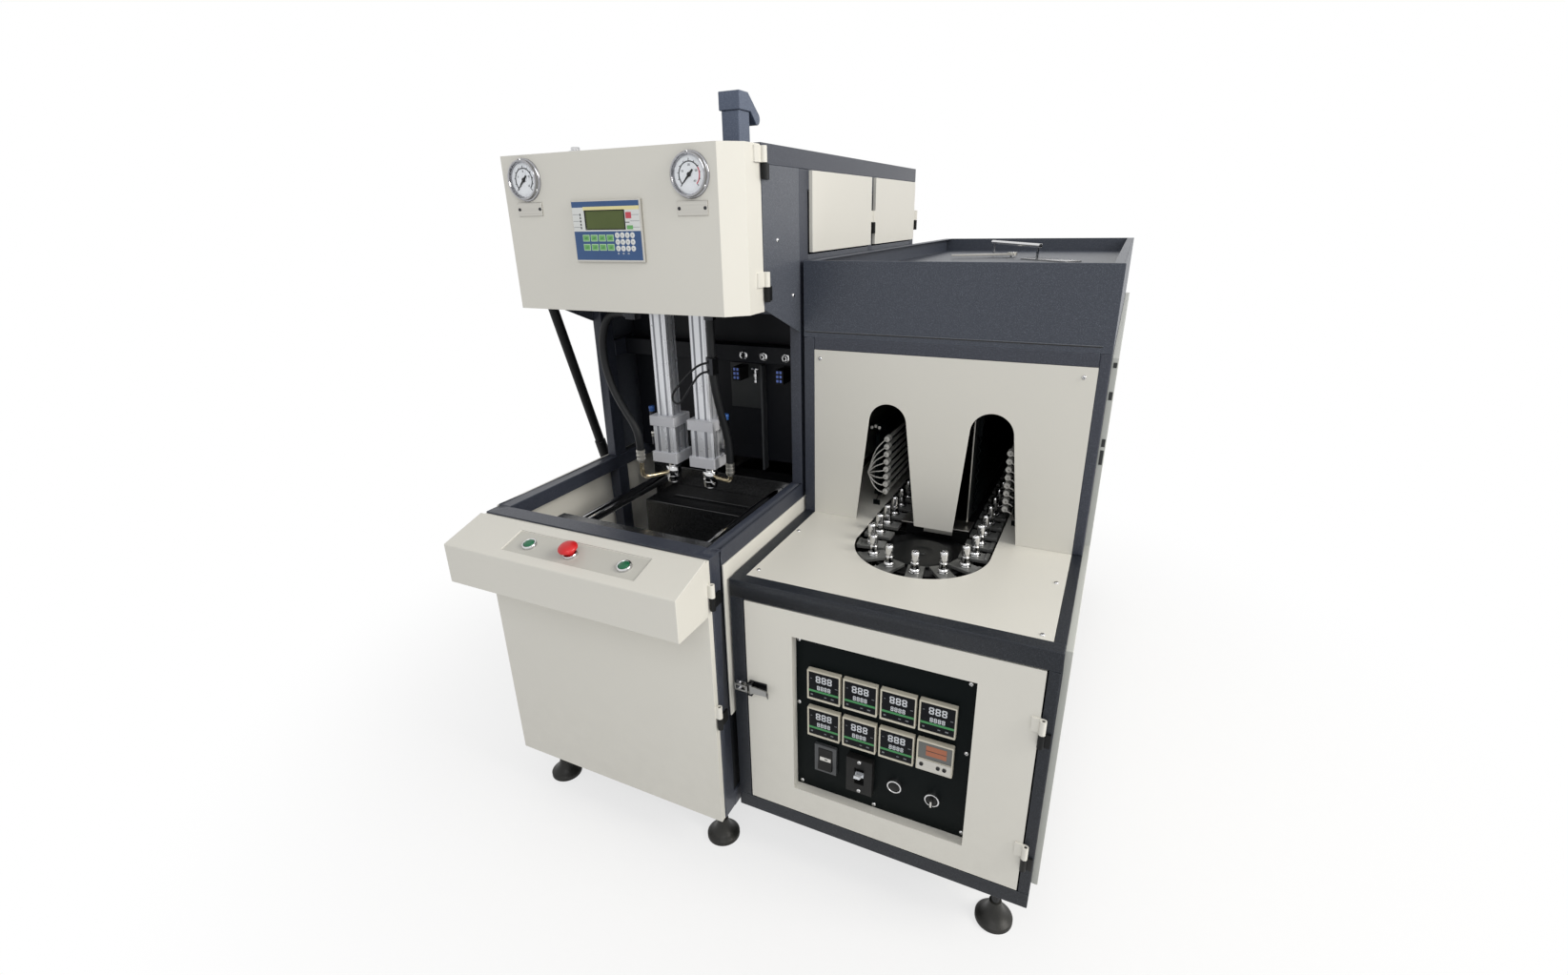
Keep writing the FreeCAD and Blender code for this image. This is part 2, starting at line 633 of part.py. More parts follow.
def stadium(radius, z, thickness):
    """A plate of two half circles round the front and rear turning points."""
    x, y = turn_front
    front = Part.makeCylinder(radius, thickness, V(x, y, z))
    rear = Part.makeCylinder(radius, thickness, V(x, turn_rear_y, z))
    middle = block((x - radius, x + radius), (y, turn_rear_y), (z, z + thickness))
    return front.fuse(rear).fuse(middle).removeSplitter()


def work_table():
    table = block(table_x, (27, heater_back - 30), (table_top - 4, table_top))
    return table.cut(stadium(cut_radius, table_top - 5, 6))


def arch(bottom, shoulder, top_z, shoulder_z):
    """A slot outline that narrows upward and ends in a round arch."""
    y = upper_front - 1
    left_foot, left_shoulder = V(bottom[0], y, table_top), V(shoulder[0], y, shoulder_z)
    right_shoulder, right_foot = V(shoulder[1], y, shoulder_z), V(bottom[1], y, table_top)
    edges = [Part.Arc(left_shoulder, V(sum(shoulder) / 2, y, top_z), right_shoulder).toShape()]
    for start, end in ((right_shoulder, right_foot), (right_foot, left_foot), (left_foot, left_shoulder)):
        edges.append(Part.LineSegment(start, end).toShape())
    return Part.Face(Part.Wire(edges)).extrude(V(0, 10, 0))


def front_slotted_panel():
    """The chamber's front sheet with two arched slots for the travelling chucks."""
    panel = block(table_x, (upper_front, upper_front + sheet), (table_top, 1090))
    panel = panel.cut(arch((129, 268), (155, 238), 982, 945)).cut(arch((353, 488), (374, 462), 983, 945))
    tongue_gap = block((260, 360), (upper_front - 1, upper_front + 4), (table_top - 1, table_top + 5))
    return panel.cut(tongue_gap)


def heater_hood():
    """The open tray on the chamber: four welded walls, a sunk floor and a narrow rim."""
    y, rim = (upper_front, heater_back), 20
    z = (chamber_top, hood_top)
    walls = [block((0, heater_width), (place, place + sheet), z) for place in (y[0], y[1] - sheet)]
    for x in ((0, sheet), (heater_width - sheet, heater_width)):
        walls.append(block(x, (y[0] + sheet, y[1] - sheet), z))
    rim_z = (hood_top - sheet, hood_top)
    inside_y = (y[0] + sheet, y[1] - sheet)
    strips = [block((x, x + rim - sheet), inside_y, rim_z) for x in (sheet, heater_width - rim)]
    floor = block((sheet, heater_width - sheet), (y[0] + sheet, y[1] - sheet), (1232, 1235))
    return group(*walls, *strips, floor)


def heater_side_panels():
    """Right panels proud of the frame, flush left panels and the back panels."""
    proud = (heater_width, heater_width + 12)
    lower = block(proud, (30, 1620), (163, 690))
    for row in range(16):
        for column in (70, 100):
            z = 250 + 24 * row
            lower = lower.cut(flat_rod(4, (proud[0] - 1, column, z), (proud[1] + 1, column, z), stud_sides))
    upper = block(proud, (402, 1620), (715, 1105))
    solids = [lower, upper]
    for z in ((163, 664), (table_top, 1090)):
        solids.append(block((4, 4 + sheet), (402, 1620), z))
        solids.append(block((table_x[0], table_x[1]), (1640, 1640 + sheet), z))
    solids.append(block((4, 4 + sheet), (30, 372), (425, 664)))
    solids.append(block((4, 4 + sheet), (30, 372), (163, 400)))
    return group(*solids)


# ---- heater: conveyor ----
def conveyor_place(index):
    """Point and travel direction on the chain's closed loop, counted in pitches from the front turn."""
    x, y = turn_front
    half_turn = sprocket_teeth // 2
    pitch = (turn_rear_y - y) / straight_pitches
    step = 360.0 / sprocket_teeth
    loop = half_turn * 2 + straight_pitches * 2
    index = index % loop
    if index < half_turn:
        angle = math.radians(180 + (index + 0.25) * step)
        return x + pitch_radius * math.cos(angle), y + pitch_radius * math.sin(angle), math.degrees(angle)
    index -= half_turn
    if index < straight_pitches:
        return x + pitch_radius, y + (index + 0.25) * pitch, 0.0
    index -= straight_pitches
    if index < half_turn:
        angle = math.radians((index + 0.25) * step)
        y = turn_rear_y
        return x + pitch_radius * math.cos(angle), y + pitch_radius * math.sin(angle), math.degrees(angle)
    index -= half_turn
    return x - pitch_radius, turn_rear_y - (index + 0.25) * pitch, 180.0


def conveyor_places():
    return [conveyor_place(index) for index in range(sprocket_teeth + 2 * straight_pitches)]


def carrier_plates():
    """One plate per pitch, square to the chain, so that wedge gaps open round the turns."""
    solids = []
    for x, y, angle in conveyor_places():
        plate = block((-30, 30), (-17, 17), (plate_top - 7, plate_top))
        plate.Placement = FreeCAD.Placement(V(x, y, 0), FreeCAD.Rotation(V(0, 0, 1), angle))
        solids.append(plate)
    return group(*solids)


def preform_chucks():
    """One mandrel per carrier: a stem on a sloping base that holds a preform's neck."""
    profile = [(0, 0), (11, 0), (8.5, 10), (8.5, 46), (0, 46)]
    return group(*[faceted(profile, stud_sides, (x, y, plate_top)) for x, y, angle in conveyor_places()])


def conveyor_chain():
    """Chain rollers under the carriers, joined by flat links."""
    places = conveyor_places()
    solids = [flat_rod(5, (x, y, 676), (x, y, plate_top - 7), stud_sides) for x, y, angle in places]
    for first, second in zip(places, places[1:] + places[:1]):
        along = V(second[0] - first[0], second[1] - first[1], 0)
        link = block((6, along.Length - 6), (-4, 4), (686, 689))
        turn = math.degrees(math.atan2(along.y, along.x))
        link.Placement = FreeCAD.Placement(V(first[0], first[1], 0), FreeCAD.Rotation(V(0, 0, 1), turn))
        solids.append(link)
    return group(*solids)


def sprocket(centre, low):
    """A chain wheel with a gullet under each roller, and the shaft in its bore."""
    pitch_angle = 360 / sprocket_teeth
    outer, root = pitch_radius - 2, pitch_radius - 5.6
    tooth_line = ((outer, -3.0), (root, -1.5), (root, 1.5), (outer, 3.0), (outer, pitch_angle / 2))
    outline = []
    for tooth in range(sprocket_teeth):
        for radius, offset in tooth_line:
            angle = math.radians((tooth + 0.25) * pitch_angle + offset)
            x, y = centre[0] + radius * math.cos(angle), centre[1] + radius * math.sin(angle)
            outline.append((x, y, 677))
    shaft = flat_rod(15, (centre[0], centre[1], low), (centre[0], centre[1], 684))
    return [prism(outline, (0, 0, 7)).cut(shaft), shaft]


def conveyor_sprockets():
    return group(*sprocket(turn_front, 560), *sprocket((turn_front[0], turn_rear_y), 664))


def conveyor_bed():
    """The chain's centre bed on cross flats, and the cover disc over the front wheel's hub."""
    x, y = turn_front
    bed = block((x - 72, x + 72), (y + 130, turn_rear_y - 130), (664, 690))
    flats = [block(table_x, (place, place + 30), (652, 664)) for place in (430, 740, turn_rear_y - 15)]
    profile = [(0, 0), (66, 0), (66, 4), (60, 7), (26, 7), (22, 4), (8, 4), (7, 7), (0, 7)]
    hub = faceted(profile, wide_sides, (x, y, 684))
    return group(bed, hub, *flats)


# ---- heater: lamps and drive ----
def lamp_heights():
    return [lamp_first_z + lamp_pitch * index for index in range(lamps_per_bank)]


def infrared_lamps():
    """Tube lamps along the chamber, each with a ceramic front end."""
    profile = [(0, 0), (7, 0), (7, 22), (4.5, 26), (4.5, 1100), (0, 1100)]
    places = [(x, 460, z) for x in lamp_x for z in lamp_heights()]
    return group(*[faceted(profile, few_sides, place, (0, 1, 0)) for place in places])


def reflector(x, toward, length):
    """A ribbed reflector sheet along one side of a lamp bank."""
    low, high, depth, ribs = 715.0, 905.0, 6.0, 8
    step = (high - low) / ribs
    near = []
    for index in range(ribs):
        near += [(x, 470, low + step * index), (x + toward * depth, 470, low + step * (index + 0.5))]
    near.append((x, 470, high))
    far = [(px - toward * 2, py, pz) for px, py, pz in reversed(near)]
    return prism(near + far, (0, length, 0))


def lamp_reflectors():
    """Ribbed sheets outside and inside each lamp bank, on brackets that stand on the table."""
    solids = [reflector(146, 1, 1080), reflector(472, -1, 1080)]
    solids += [reflector(240, -1, 660), reflector(378, 1, 660)]
    for x in (146, 472):
        for y in (470, 1540):
            solids.append(block((x - 8, x + 8), (y, y + 4), (table_top, 715)))
    for x in (240, 378):
        for y in (470, 1120):
            solids.append(block((x - 6, x + 6), (y, y + 4), (905, 1090)))
        solids.append(block((x - 6, x + 6), (402, 1620), (1090, 1096)))
    solids.append(block((144, 152), (460, 470), (735, 885)))
    solids.append(block((466, 474), (460, 470), (735, 885)))
    return group(*solids)


def drive_motor():
    """The chain drive: an upright gearbox under the front wheel and its flanged motor."""
    x, y = turn_front
    plate = block((x - 110, x + 110), (200, 372), (425, 433))
    gearbox = block((x - 65, x + 65), (y - 60, y + 60), (433, 545))
    gearbox = gearbox.makeChamfer(8, [edge for edge in gearbox.Edges if runs_along(edge, (0, 0, 1))])
    shaft_bore = flat_rod(15.05, (x, y, 540), (x, y, 563))
    boss = flat_rod(34, (x, y, 545), (x, y, 562), wide_sides).cut(shaft_bore)
    profile = [(0, 0), (60, 0), (60, 12), (52, 12), (52, 190), (0, 190)]
    motor = faceted(profile, wide_sides, (x, y + 60, 496), (0, 1, 0))
    return group(plate, gearbox.cut(shaft_bore), boss, motor)


# ---- heater: tray fittings ----
strap_pivot = (295.0, 1261.0)


def tray_handle():
    """A bow handle on two feet, and the flat plate that lies beside it."""
    feet = [(219, 1387), (383, 1125)]
    bow_z, floor = 1274, 1235
    first, second = feet
    posts = [flat_rod(4, (x, y, floor), (x, y, bow_z), few_sides) for x, y in feet]
    bow_ends = (first[0] - 8, first[1] + 13, bow_z), (second[0] + 8, second[1] - 13, bow_z)
    bow = flat_rod(5.5, *bow_ends, hinge_sides)
    corners = ((335, 1150), (470, 1020), (505, 1060), (372, 1190))
    plate = prism([(x, y, floor) for x, y in corners], (0, 0, 4))
    bolt = flat_rod(6, (strap_pivot[0], strap_pivot[1], floor), (strap_pivot[0], strap_pivot[1], 1250))
    return group(posts[0].fuse(posts[1]).fuse(bow), plate.cut(posts[1]), bolt)


def tray_strap():
    """A tapered swinging strap with a round eye on its pivot bolt."""
    x, y = strap_pivot
    eye = flat_rod(15, (x, y, 1240), (x, y, 1249))
    corners = ((x - 6, y + 13), (131, 1188), (131, 1172), (x + 2, y - 13))
    blade = prism([(px, py, 1241) for px, py in corners], (0, 0, 5))
    return eye.fuse(blade).cut(rod(6.1, (x, y, 1230), (x, y, 1260))).removeSplitter()


# ---- heater: front door with the instrument panel ----
def heater_door():
    """The inset door: a folded slab with a window and a sunk frame for the instrument panel."""
    slab = block(heater_door_x, (0, 14), heater_door_z)
    window = block(window_x, (-1, panel_y + 1), window_z)
    collar_x, collar_z2 = (window_x[0] - 10, window_x[1] + 10), (window_z[0] - 10, window_z[1] + 10)
    frame = block(collar_x, (14, panel_y), collar_z2)
    slab = slab.fuse(frame).cut(window)
    for z in heater_hinge_z:
        slab = slab.fuse(hinge_upper(heater_hinge_x, heater_hinge_y, z, ((584, 603), (-4, 0))))
    return slab.removeSplitter()


def instrument_panel():
    y = (panel_y, panel_y + sheet)
    panel = block((window_x[0] - 10, window_x[1] + 10), y, (window_z[0] - 10, window_z[1] + 10))
    deep = (panel_y - 1, panel_y + sheet + 1)
    for x in instrument_x:
        for z in instrument_z:
            panel = panel.cut(block((x - 33, x + 33), deep, (z - 33, z + 33)))
    x, z = rocker_centre
    panel = panel.cut(block((x - 16, x + 16), deep, (z - 27, z + 27)))
    for x, z in (push_centre, selector_centre):
        panel = panel.cut(flat_rod(11.4, (x, deep[0], z), (x, deep[1], z)))
    return panel


def instrument(x, z, window_low):
    """A square panel instrument: front frame, sunk display and the case behind."""
    half = instrument_size / 2
    front = block((x - half, x + half), (panel_y - 12, panel_y), (z - half, z + half))
    front = front.makeChamfer(1.5, [edge for edge in front.Edges if runs_along(edge, (0, 1, 0))])
    front = front.cut(block((x - 32, x + 32), (panel_y - 13, panel_y - 9), (z + window_low, z + 31)))
    return front.fuse(block((x - 33, x + 33), (panel_y, panel_y + 60), (z - 33, z + 33)))


def panel_instruments():
    """Seven temperature controllers and a voltmeter, the breaker body, rocker frame and button collars."""
    solids = []
    for row, z in enumerate(instrument_z):
        for column, x in enumerate(instrument_x):
            is_voltmeter = row == 1 and column == 3
            solids.append(instrument(x, z, -8 if is_voltmeter else -31))
    x, z = rocker_centre
    frame = block((x - 24, x + 24), (12, panel_y), (z - 34, z + 34))
    solids.append(frame.cut(block((x - 15.5, x + 15.5), (11, panel_y + 1), (z - 26.5, z + 26.5))))
    x, z = breaker_centre
    body = block((x - 27.5, x + 27.5), (4, panel_y), (z - 42.5, z + 42.5))
    solids.append(body.cut(block((x - 10, x + 10), (3, 16), (z - 20, z + 20))))
    for x, z in (push_centre, selector_centre):
        ends = (x, 9, z), (x, panel_y, z)
        solids.append(flat_rod(15, *ends).cut(flat_rod(11.4, *ends)))
    return group(*solids)


def rocker_switch():
    """The rocker, tipped to one side, with a shallow V face and its round axle behind."""
    x, z = rocker_centre
    pivot = V(x, 17.5, z)
    face = ((9, -25), (12, 0), (9, 25), (18, 22), (18, -22))
    rocker = prism([(x - 15, y, z + rise) for y, rise in face], (30, 0, 0))
    rocker = rocker.fuse(rod(4, (x - 15, pivot.y, z), (x + 15, pivot.y, z)))
    rocker.rotate(pivot, V(1, 0, 0), -6)
    return rocker


def breaker_lever():
    x, z = breaker_centre
    hub = rod(5, (x - 9, 10.5, z), (x + 9, 10.5, z))
    outline = ((10, 2), (8, 4.5), (-10, 13), (-12, 8), (7, -2))
    return hub.fuse(prism([(x - 6, y, z + rise) for y, rise in outline], (12, 0, 0)))


def panel_push_button():
    x, z = push_centre
    return flat_rod(11, (x, 5, z), (x, 30, z)).fuse(flat_rod(8, (x, 4, z), (x, 5, z)))


def selector_knob():
    x, z = selector_centre
    grip = block((x - 3, x + 3), (-5, 6), (z - 12, z + 12))
    grip = grip.makeChamfer(1.5, [edge for edge in grip.Edges if runs_along(edge, (0, 1, 0))])
    return rod(11, (x, 5, z), (x, 30, z)).fuse(flat_rod(14, (x, 4, z), (x, 8.5, z))).fuse(grip)


latch_pivot = (44.0, -9.0)


def panel_hardware():
    """Panel screws, the latch's base with its pin, and the bail that reaches over the strike."""
    solids = []
    for x, z in ((142, 590), (141, 440), (146, 237), (306, 236), (484, 240), (480, 432), (477, 586)):
        head = [(0, 0), (4, 0), (4, 1.5), (2.5, 2.8), (0, 2.8)]
        solids.append(faceted(head, few_sides, (x, panel_y, z), (0, -1, 0)))
    x, y = latch_pivot
    base = block((x - 6, x + 34), (-2, 0), (446, 476))
    ears = block((x - 5, x + 5), (-14, -2), (446, 449)).fuse(block((x - 5, x + 5), (-14, -2), (473, 476)))
    pin = flat_rod(2.5, (x, y, 446), (x, y, 476), few_sides)
    bail = block((10, x - 8), (-15.5, -13), (453, 457)).fuse(block((10, x - 8), (-15.5, -13), (465, 469)))
    for across, depth in (((8, 12), (-15.5, -13)), ((x - 10, x - 5), (-15.5, 0))):
        bail = bail.fuse(block(across, depth, (453, 469)))
    solids.append(base.fuse(ears).fuse(pin).fuse(bail))
    return group(*solids)


def latch_lever():
    """The latch's lever: an eye on the pin, a tapering arm and an upturned tip."""
    x, y = latch_pivot
    eye = flat_rod(4.6, (x, y, 450), (x, y, 472), hinge_sides)
    outline = [(x, -13.2, 461 - 9), (x, -13.2, 461 + 9), (x + 38, -13.2, 461 + 6), (x + 38, -13.2, 461 - 6)]
    arm = prism(outline, (0, 3, 0))
    corners = ((x + 38, -13.2), (x + 38, -10.2), (x + 45, -17), (x + 44, -19))
    tip = prism([(px, py, 455) for px, py in corners], (0, 0, 12))
    return eye.fuse(arm).fuse(tip).cut(rod(2.55, (x, y, 440), (x, y, 480)))


def machine_screws():
    """Socket bolts and screw heads on the fixed sheets, the latch strike and the roof fitting."""
    head = [(0, 0), (4.5, 0), (4.5, 1.6), (3, 2.6), (0, 2.6)]
    up, forward, right = (0, 0, 1), (0, -1, 0), (1, 0, 0)
    places = [((x, y, table_top), up) for x, y in ((35, 256), (38, 55), (584, 235), (581, 41))]
    places += [((x, upper_front, z), forward) for x, z in ((39, 1071), (577, 1070))]
    places += [((blow_right, y, z), right) for y, z in ((267, 1320), (337, 1208))]
    solids = [faceted(head, few_sides, place, facing) for place, facing in places]
    socket = [(0, 0), (11, 0), (11, 2), (7, 2), (7, 9), (4, 9), (4, 4), (0, 4)]
    solids += [faceted(socket, few_sides, (x, 460, 1048), forward) for x in (-202, -147, -87)]
    strike = block((7, 30), (-2, 0), (444, 467))
    for z in (450, 462):
        strike = strike.fuse(flat_rod(3, (14, -2, z), (14, -9, z), few_sides))
    solids.append(strike)
    solids += [flat_rod(9, (blow_right, y, z), (0, y, z)) for y, z in ((390, 300), (1216, 146))]
    roof_profile = [(0, 0), (16, 0), (16, 4), (9, 6), (9, 12), (0, 12)]
    solids.append(faceted(roof_profile, bar_sides, (-396, 160, head_top)))
    return group(*solids)


def levelling_feet():
    """Eight feet: turned cone on a wide pad, threaded stem and lock nut."""
    cone = [(0, 0), (foot_pad_radius, 0), (foot_pad_radius, 10), (15, 34), (12, 52), (0, 52)]
    stem = [(0, 52), (8, 52), (8, 92), (13, 92), (13, 104), (8, 104), (8, 150), (0, 150)]
    solids = []
    for x, y in foot_places:
        solids += [faceted(cone, hinge_sides, (x, y, 0)), faceted(stem, few_sides, (x, y, 0))]
    return group(*solids)


pieces["blow_base_frame"] = blow_base_frame()
pieces["blow_upper_frame"] = blow_upper_frame()
pieces["column_top_cover"] = column_top_cover()
pieces["column_dark_panels"] = column_dark_panels()
pieces["blow_side_panels"] = blow_side_panels()
pieces["lifting_post"] = lifting_post()
pieces["side_conduit"] = side_conduit()
pieces["front_platen"] = front_platen()
pieces["tie_bars"] = tie_bars()
pieces["rear_platen"] = rear_platen()
pieces["clamp_cylinder"] = clamp_cylinder()
pieces["cylinder_tubes"] = cylinder_tubes()
pieces["cylinder_blocks"] = cylinder_blocks()
pieces["blow_nozzles"] = blow_nozzles()
pieces["stretch_rods"] = stretch_rods()
pieces["air_hose_left"] = routed_tube(left_hose_points, hose_radius, "left hose")
pieces["air_hose_right"] = routed_tube(right_hose_points, hose_radius, "right hose")
pieces["sensor_cable"] = routed_tube(cable_points, cable_radius, "sensor cable", stud_sides)
pieces["hose_glands"] = hose_glands()
pieces["hinge_lower_halves"] = hinge_lower_halves()
pieces["front_door"] = front_door()
pieces["control_bar"] = control_bar()
pieces["button_collars"] = button_collars()
pieces["green_button_left"] = start_button(button_x[0])
pieces["green_button_right"] = start_button(button_x[2])
pieces["emergency_stop"] = emergency_stop()
pieces["head_cover"] = head_cover()
pieces["pressure_gauges"] = pressure_gauges()
pieces["gauge_pointer_left"] = gauge_pointer(gauge_centres[0])
pieces["gauge_pointer_right"] = gauge_pointer(gauge_centres[1])
pieces["controller"] = controller()
pieces["side_door_front"] = side_door(0)
pieces["side_door_rear"] = side_door(1)
pieces["heater_frame"] = heater_frame()
pieces["work_table"] = work_table()
pieces["front_slotted_panel"] = front_slotted_panel()
pieces["heater_hood"] = heater_hood()
pieces["heater_side_panels"] = heater_side_panels()
pieces["carrier_plates"] = carrier_plates()
pieces["preform_chucks"] = preform_chucks()
pieces["conveyor_chain"] = conveyor_chain()
pieces["conveyor_sprockets"] = conveyor_sprockets()
pieces["conveyor_bed"] = conveyor_bed()
pieces["infrared_lamps"] = infrared_lamps()
pieces["lamp_reflectors"] = lamp_reflectors()
pieces["drive_motor"] = drive_motor()
pieces["tray_handle"] = tray_handle()
pieces["tray_strap"] = tray_strap()
pieces["heater_door"] = heater_door()
pieces["instrument_panel"] = instrument_panel()
pieces["panel_instruments"] = panel_instruments()
pieces["rocker_switch"] = rocker_switch()
pieces["breaker_lever"] = breaker_lever()
pieces["panel_push_button"] = panel_push_button()
pieces["selector_knob"] = selector_knob()
pieces["panel_hardware"] = panel_hardware()
pieces["latch_lever"] = latch_lever()
pieces["machine_screws"] = machine_screws()
pieces["levelling_feet"] = levelling_feet()

footprint = Part.makeCompound([shape for name, shape in pieces.items() if name not in hanging]).BoundBox
centre = footprint.Center
print("origin lies at x %.4f y %.4f, floor gap %.4f" % (centre.x, centre.y, footprint.ZMin))
print("size %.1f %.1f %.1f, %d nodes" % (footprint.XLength, footprint.YLength, footprint.ZLength, len(pieces)))

for name, shape in pieces.items():
    shape.translate(V(-centre.x, -centre.y, 0))
    shape.exportStep("parts/%s.step" % name)
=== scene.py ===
# Two-cavity blow moulding machine with its preform heater: finishes, fittings and cords round the frame.
# Drawing places are millimetres: X right from the heater's left edge, Y back from its front, Z up.
import bpy
import json
import math
from mathutils import Matrix, Vector

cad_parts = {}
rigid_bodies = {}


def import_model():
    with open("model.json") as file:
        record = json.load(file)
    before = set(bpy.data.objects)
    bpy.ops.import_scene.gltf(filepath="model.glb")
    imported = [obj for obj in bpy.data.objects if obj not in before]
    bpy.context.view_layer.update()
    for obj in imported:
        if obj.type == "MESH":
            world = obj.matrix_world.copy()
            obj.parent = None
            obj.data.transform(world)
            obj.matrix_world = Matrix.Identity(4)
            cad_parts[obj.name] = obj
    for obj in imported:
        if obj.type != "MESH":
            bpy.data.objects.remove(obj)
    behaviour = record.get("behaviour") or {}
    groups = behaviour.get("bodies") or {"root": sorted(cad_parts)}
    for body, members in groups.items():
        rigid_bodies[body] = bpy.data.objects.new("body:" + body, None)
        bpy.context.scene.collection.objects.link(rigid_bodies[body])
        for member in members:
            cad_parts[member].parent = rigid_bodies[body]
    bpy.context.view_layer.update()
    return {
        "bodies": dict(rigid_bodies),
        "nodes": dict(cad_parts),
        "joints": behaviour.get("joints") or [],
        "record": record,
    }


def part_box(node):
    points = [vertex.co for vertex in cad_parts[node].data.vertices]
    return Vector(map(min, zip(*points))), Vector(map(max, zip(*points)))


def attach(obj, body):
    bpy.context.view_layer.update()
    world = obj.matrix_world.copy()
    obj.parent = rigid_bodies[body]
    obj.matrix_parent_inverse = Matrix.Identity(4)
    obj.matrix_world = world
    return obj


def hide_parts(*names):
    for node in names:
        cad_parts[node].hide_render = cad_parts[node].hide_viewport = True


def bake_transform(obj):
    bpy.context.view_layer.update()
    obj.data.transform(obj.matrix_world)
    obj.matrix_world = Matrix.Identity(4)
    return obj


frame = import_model()
cadNodes = frame["nodes"]
bodyOf = {node: body for body, nodes in frame["record"]["behaviour"]["bodies"].items() for node in nodes}
slotOf = {part["node"]: part["material_slot"] for part in frame["record"]["subparts"]}
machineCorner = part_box("heater_frame")[0]
mm = 0.001
weldGap = 2e-6
flatAngle, smoothAngle, edgeAngle = (math.radians(degrees) for degrees in (1, 38, 40))
upward, frontward, backward, rightward = (0, 0, 1), (0, -1, 0), (0, 1, 0), (1, 0, 0)


def at(x, y, z):
    return Vector((machineCorner.x + x * mm, machineCorner.y + y * mm, z * mm))


toOrigin = Matrix.Translation(-at(0, 0, 0))


def addObject(name, data):
    thing = bpy.data.objects.new(name, data)
    bpy.context.scene.collection.objects.link(thing)
    return thing


cameraSettings = {
    "lens": 15.979, "sensor": 36.0, "place": (631.85, -1038.23, 1364.13), "turnLeft": 26.003,
    "lookDown": 21.299, "roll": 1.180, "reach": 200}


def makeCamera(settings):
    data = bpy.data.cameras.new("photoCamera")
    data.lens = settings["lens"]
    data.sensor_width = settings["sensor"]
    data.sensor_fit = "HORIZONTAL"
    data.clip_end = settings["reach"]
    camera = addObject("photoCamera", data)
    heading = Matrix.Rotation(math.radians(settings["turnLeft"]), 4, "Z")
    tilt = Matrix.Rotation(math.radians(90 - settings["lookDown"]), 4, "X")
    roll = Matrix.Rotation(math.radians(-settings["roll"]), 4, "Z")
    camera.matrix_world = Matrix.Translation(at(*settings["place"])) @ heading @ tilt @ roll
    bpy.context.scene.camera = camera


makeCamera(cameraSettings)
print("camera set")


def colour(*levels):
    # three levels as on a screen, 0 to 255, turned into light
    light = []
    for level in (level / 255 for level in levels):
        light.append(((level + 0.055) / 1.055) ** 2.4 if level > 10 / 255 else level / 12.92)
    return (*light, 1)


def addNode(tree, kind, inputs=None, **settings):
    made = tree.nodes.new("ShaderNode" + kind)
    for key, value in settings.items():
        setattr(made, key, value)
    for key, value in (inputs or {}).items():
        if isinstance(value, bpy.types.NodeSocket):
            tree.links.new(value, made.inputs[key])
        else:
            made.inputs[key].default_value = value
    return made


def startGroup(name, inputs, outputs):
    group = bpy.data.node_groups.new(name, "ShaderNodeTree")
    for label, value in inputs.items():
        socket = group.interface.new_socket(label, in_out="INPUT", socket_type="NodeSocketFloat")
        socket.default_value = value
    for label in outputs:
        group.interface.new_socket(label, in_out="OUTPUT", socket_type="NodeSocketFloat")
    return group, group.nodes.new("NodeGroupInput").outputs, group.nodes.new("NodeGroupOutput").inputs


def objectPoint(tree):
    return addNode(tree, "TexCoord").outputs["Object"]


def addNoise(tree, place, scale, detail, output="Fac"):
    return addNode(tree, "TexNoise", {"Vector": place, "Scale": scale, "Detail": detail}).outputs[output]


def combine(tree, how, first, second, kind="Math", **settings):
    return addNode(tree, kind, {0: first, 1: second}, operation=how, **settings).outputs[0]


def spread(tree, value, low=0.0, high=1.0, start=0.0, end=1.0):
    # a value that runs from start to end is stretched to run from low to high
    limits = {"Value": value, "From Min": start, "From Max": end, "To Min": low, "To Max": high}
    return addNode(tree, "MapRange", limits).outputs["Result"]


def makeOrangePeel():
    # the soft waviness of sprayed powder, with a finer grain on it
    group, given, result = startGroup("orangePeel", {"cells": 420.0, "grain": 0.35}, ["height"])
    place = objectPoint(group)
    waves = addNoise(group, place, given["cells"], detail=2.0)
    finer = addNoise(group, place, combine(group, "MULTIPLY", given["cells"], 3.1), detail=1.0)
    grain = combine(group, "MULTIPLY", finer, given["grain"])
    group.links.new(combine(group, "ADD", waves, grain), result["height"])
    return group


def makeHammerCells():
    # hammered enamel: rounded cells that run into each other, and bright flakes in the paint
    group, given, result = startGroup("hammerCells", {"cells": 330.0, "flakes": 1500.0}, ["height", "flake"])
    place = objectPoint(group)
    bend = addNoise(group, place, scale=160.0, detail=2.0, output="Color")
    shift = combine(group, "MULTIPLY", bend, (0.004, 0.004, 0.004), "VectorMath")
    bent = combine(group, "ADD", place, shift, "VectorMath")
    cells = addNode(group, "TexVoronoi", {"Vector": bent, "Scale": given["cells"], "Smoothness": 0.6},
        feature="SMOOTH_F1")
    group.links.new(cells.outputs["Distance"], result["height"])
    dots = addNode(group, "TexVoronoi", {"Vector": place, "Scale": given["flakes"]})
    bright = addNode(group, "SeparateColor", {0: dots.outputs["Color"]}).outputs[0]
    group.links.new(spread(group, bright, start=0.8, end=0.95), result["flake"])
    return group


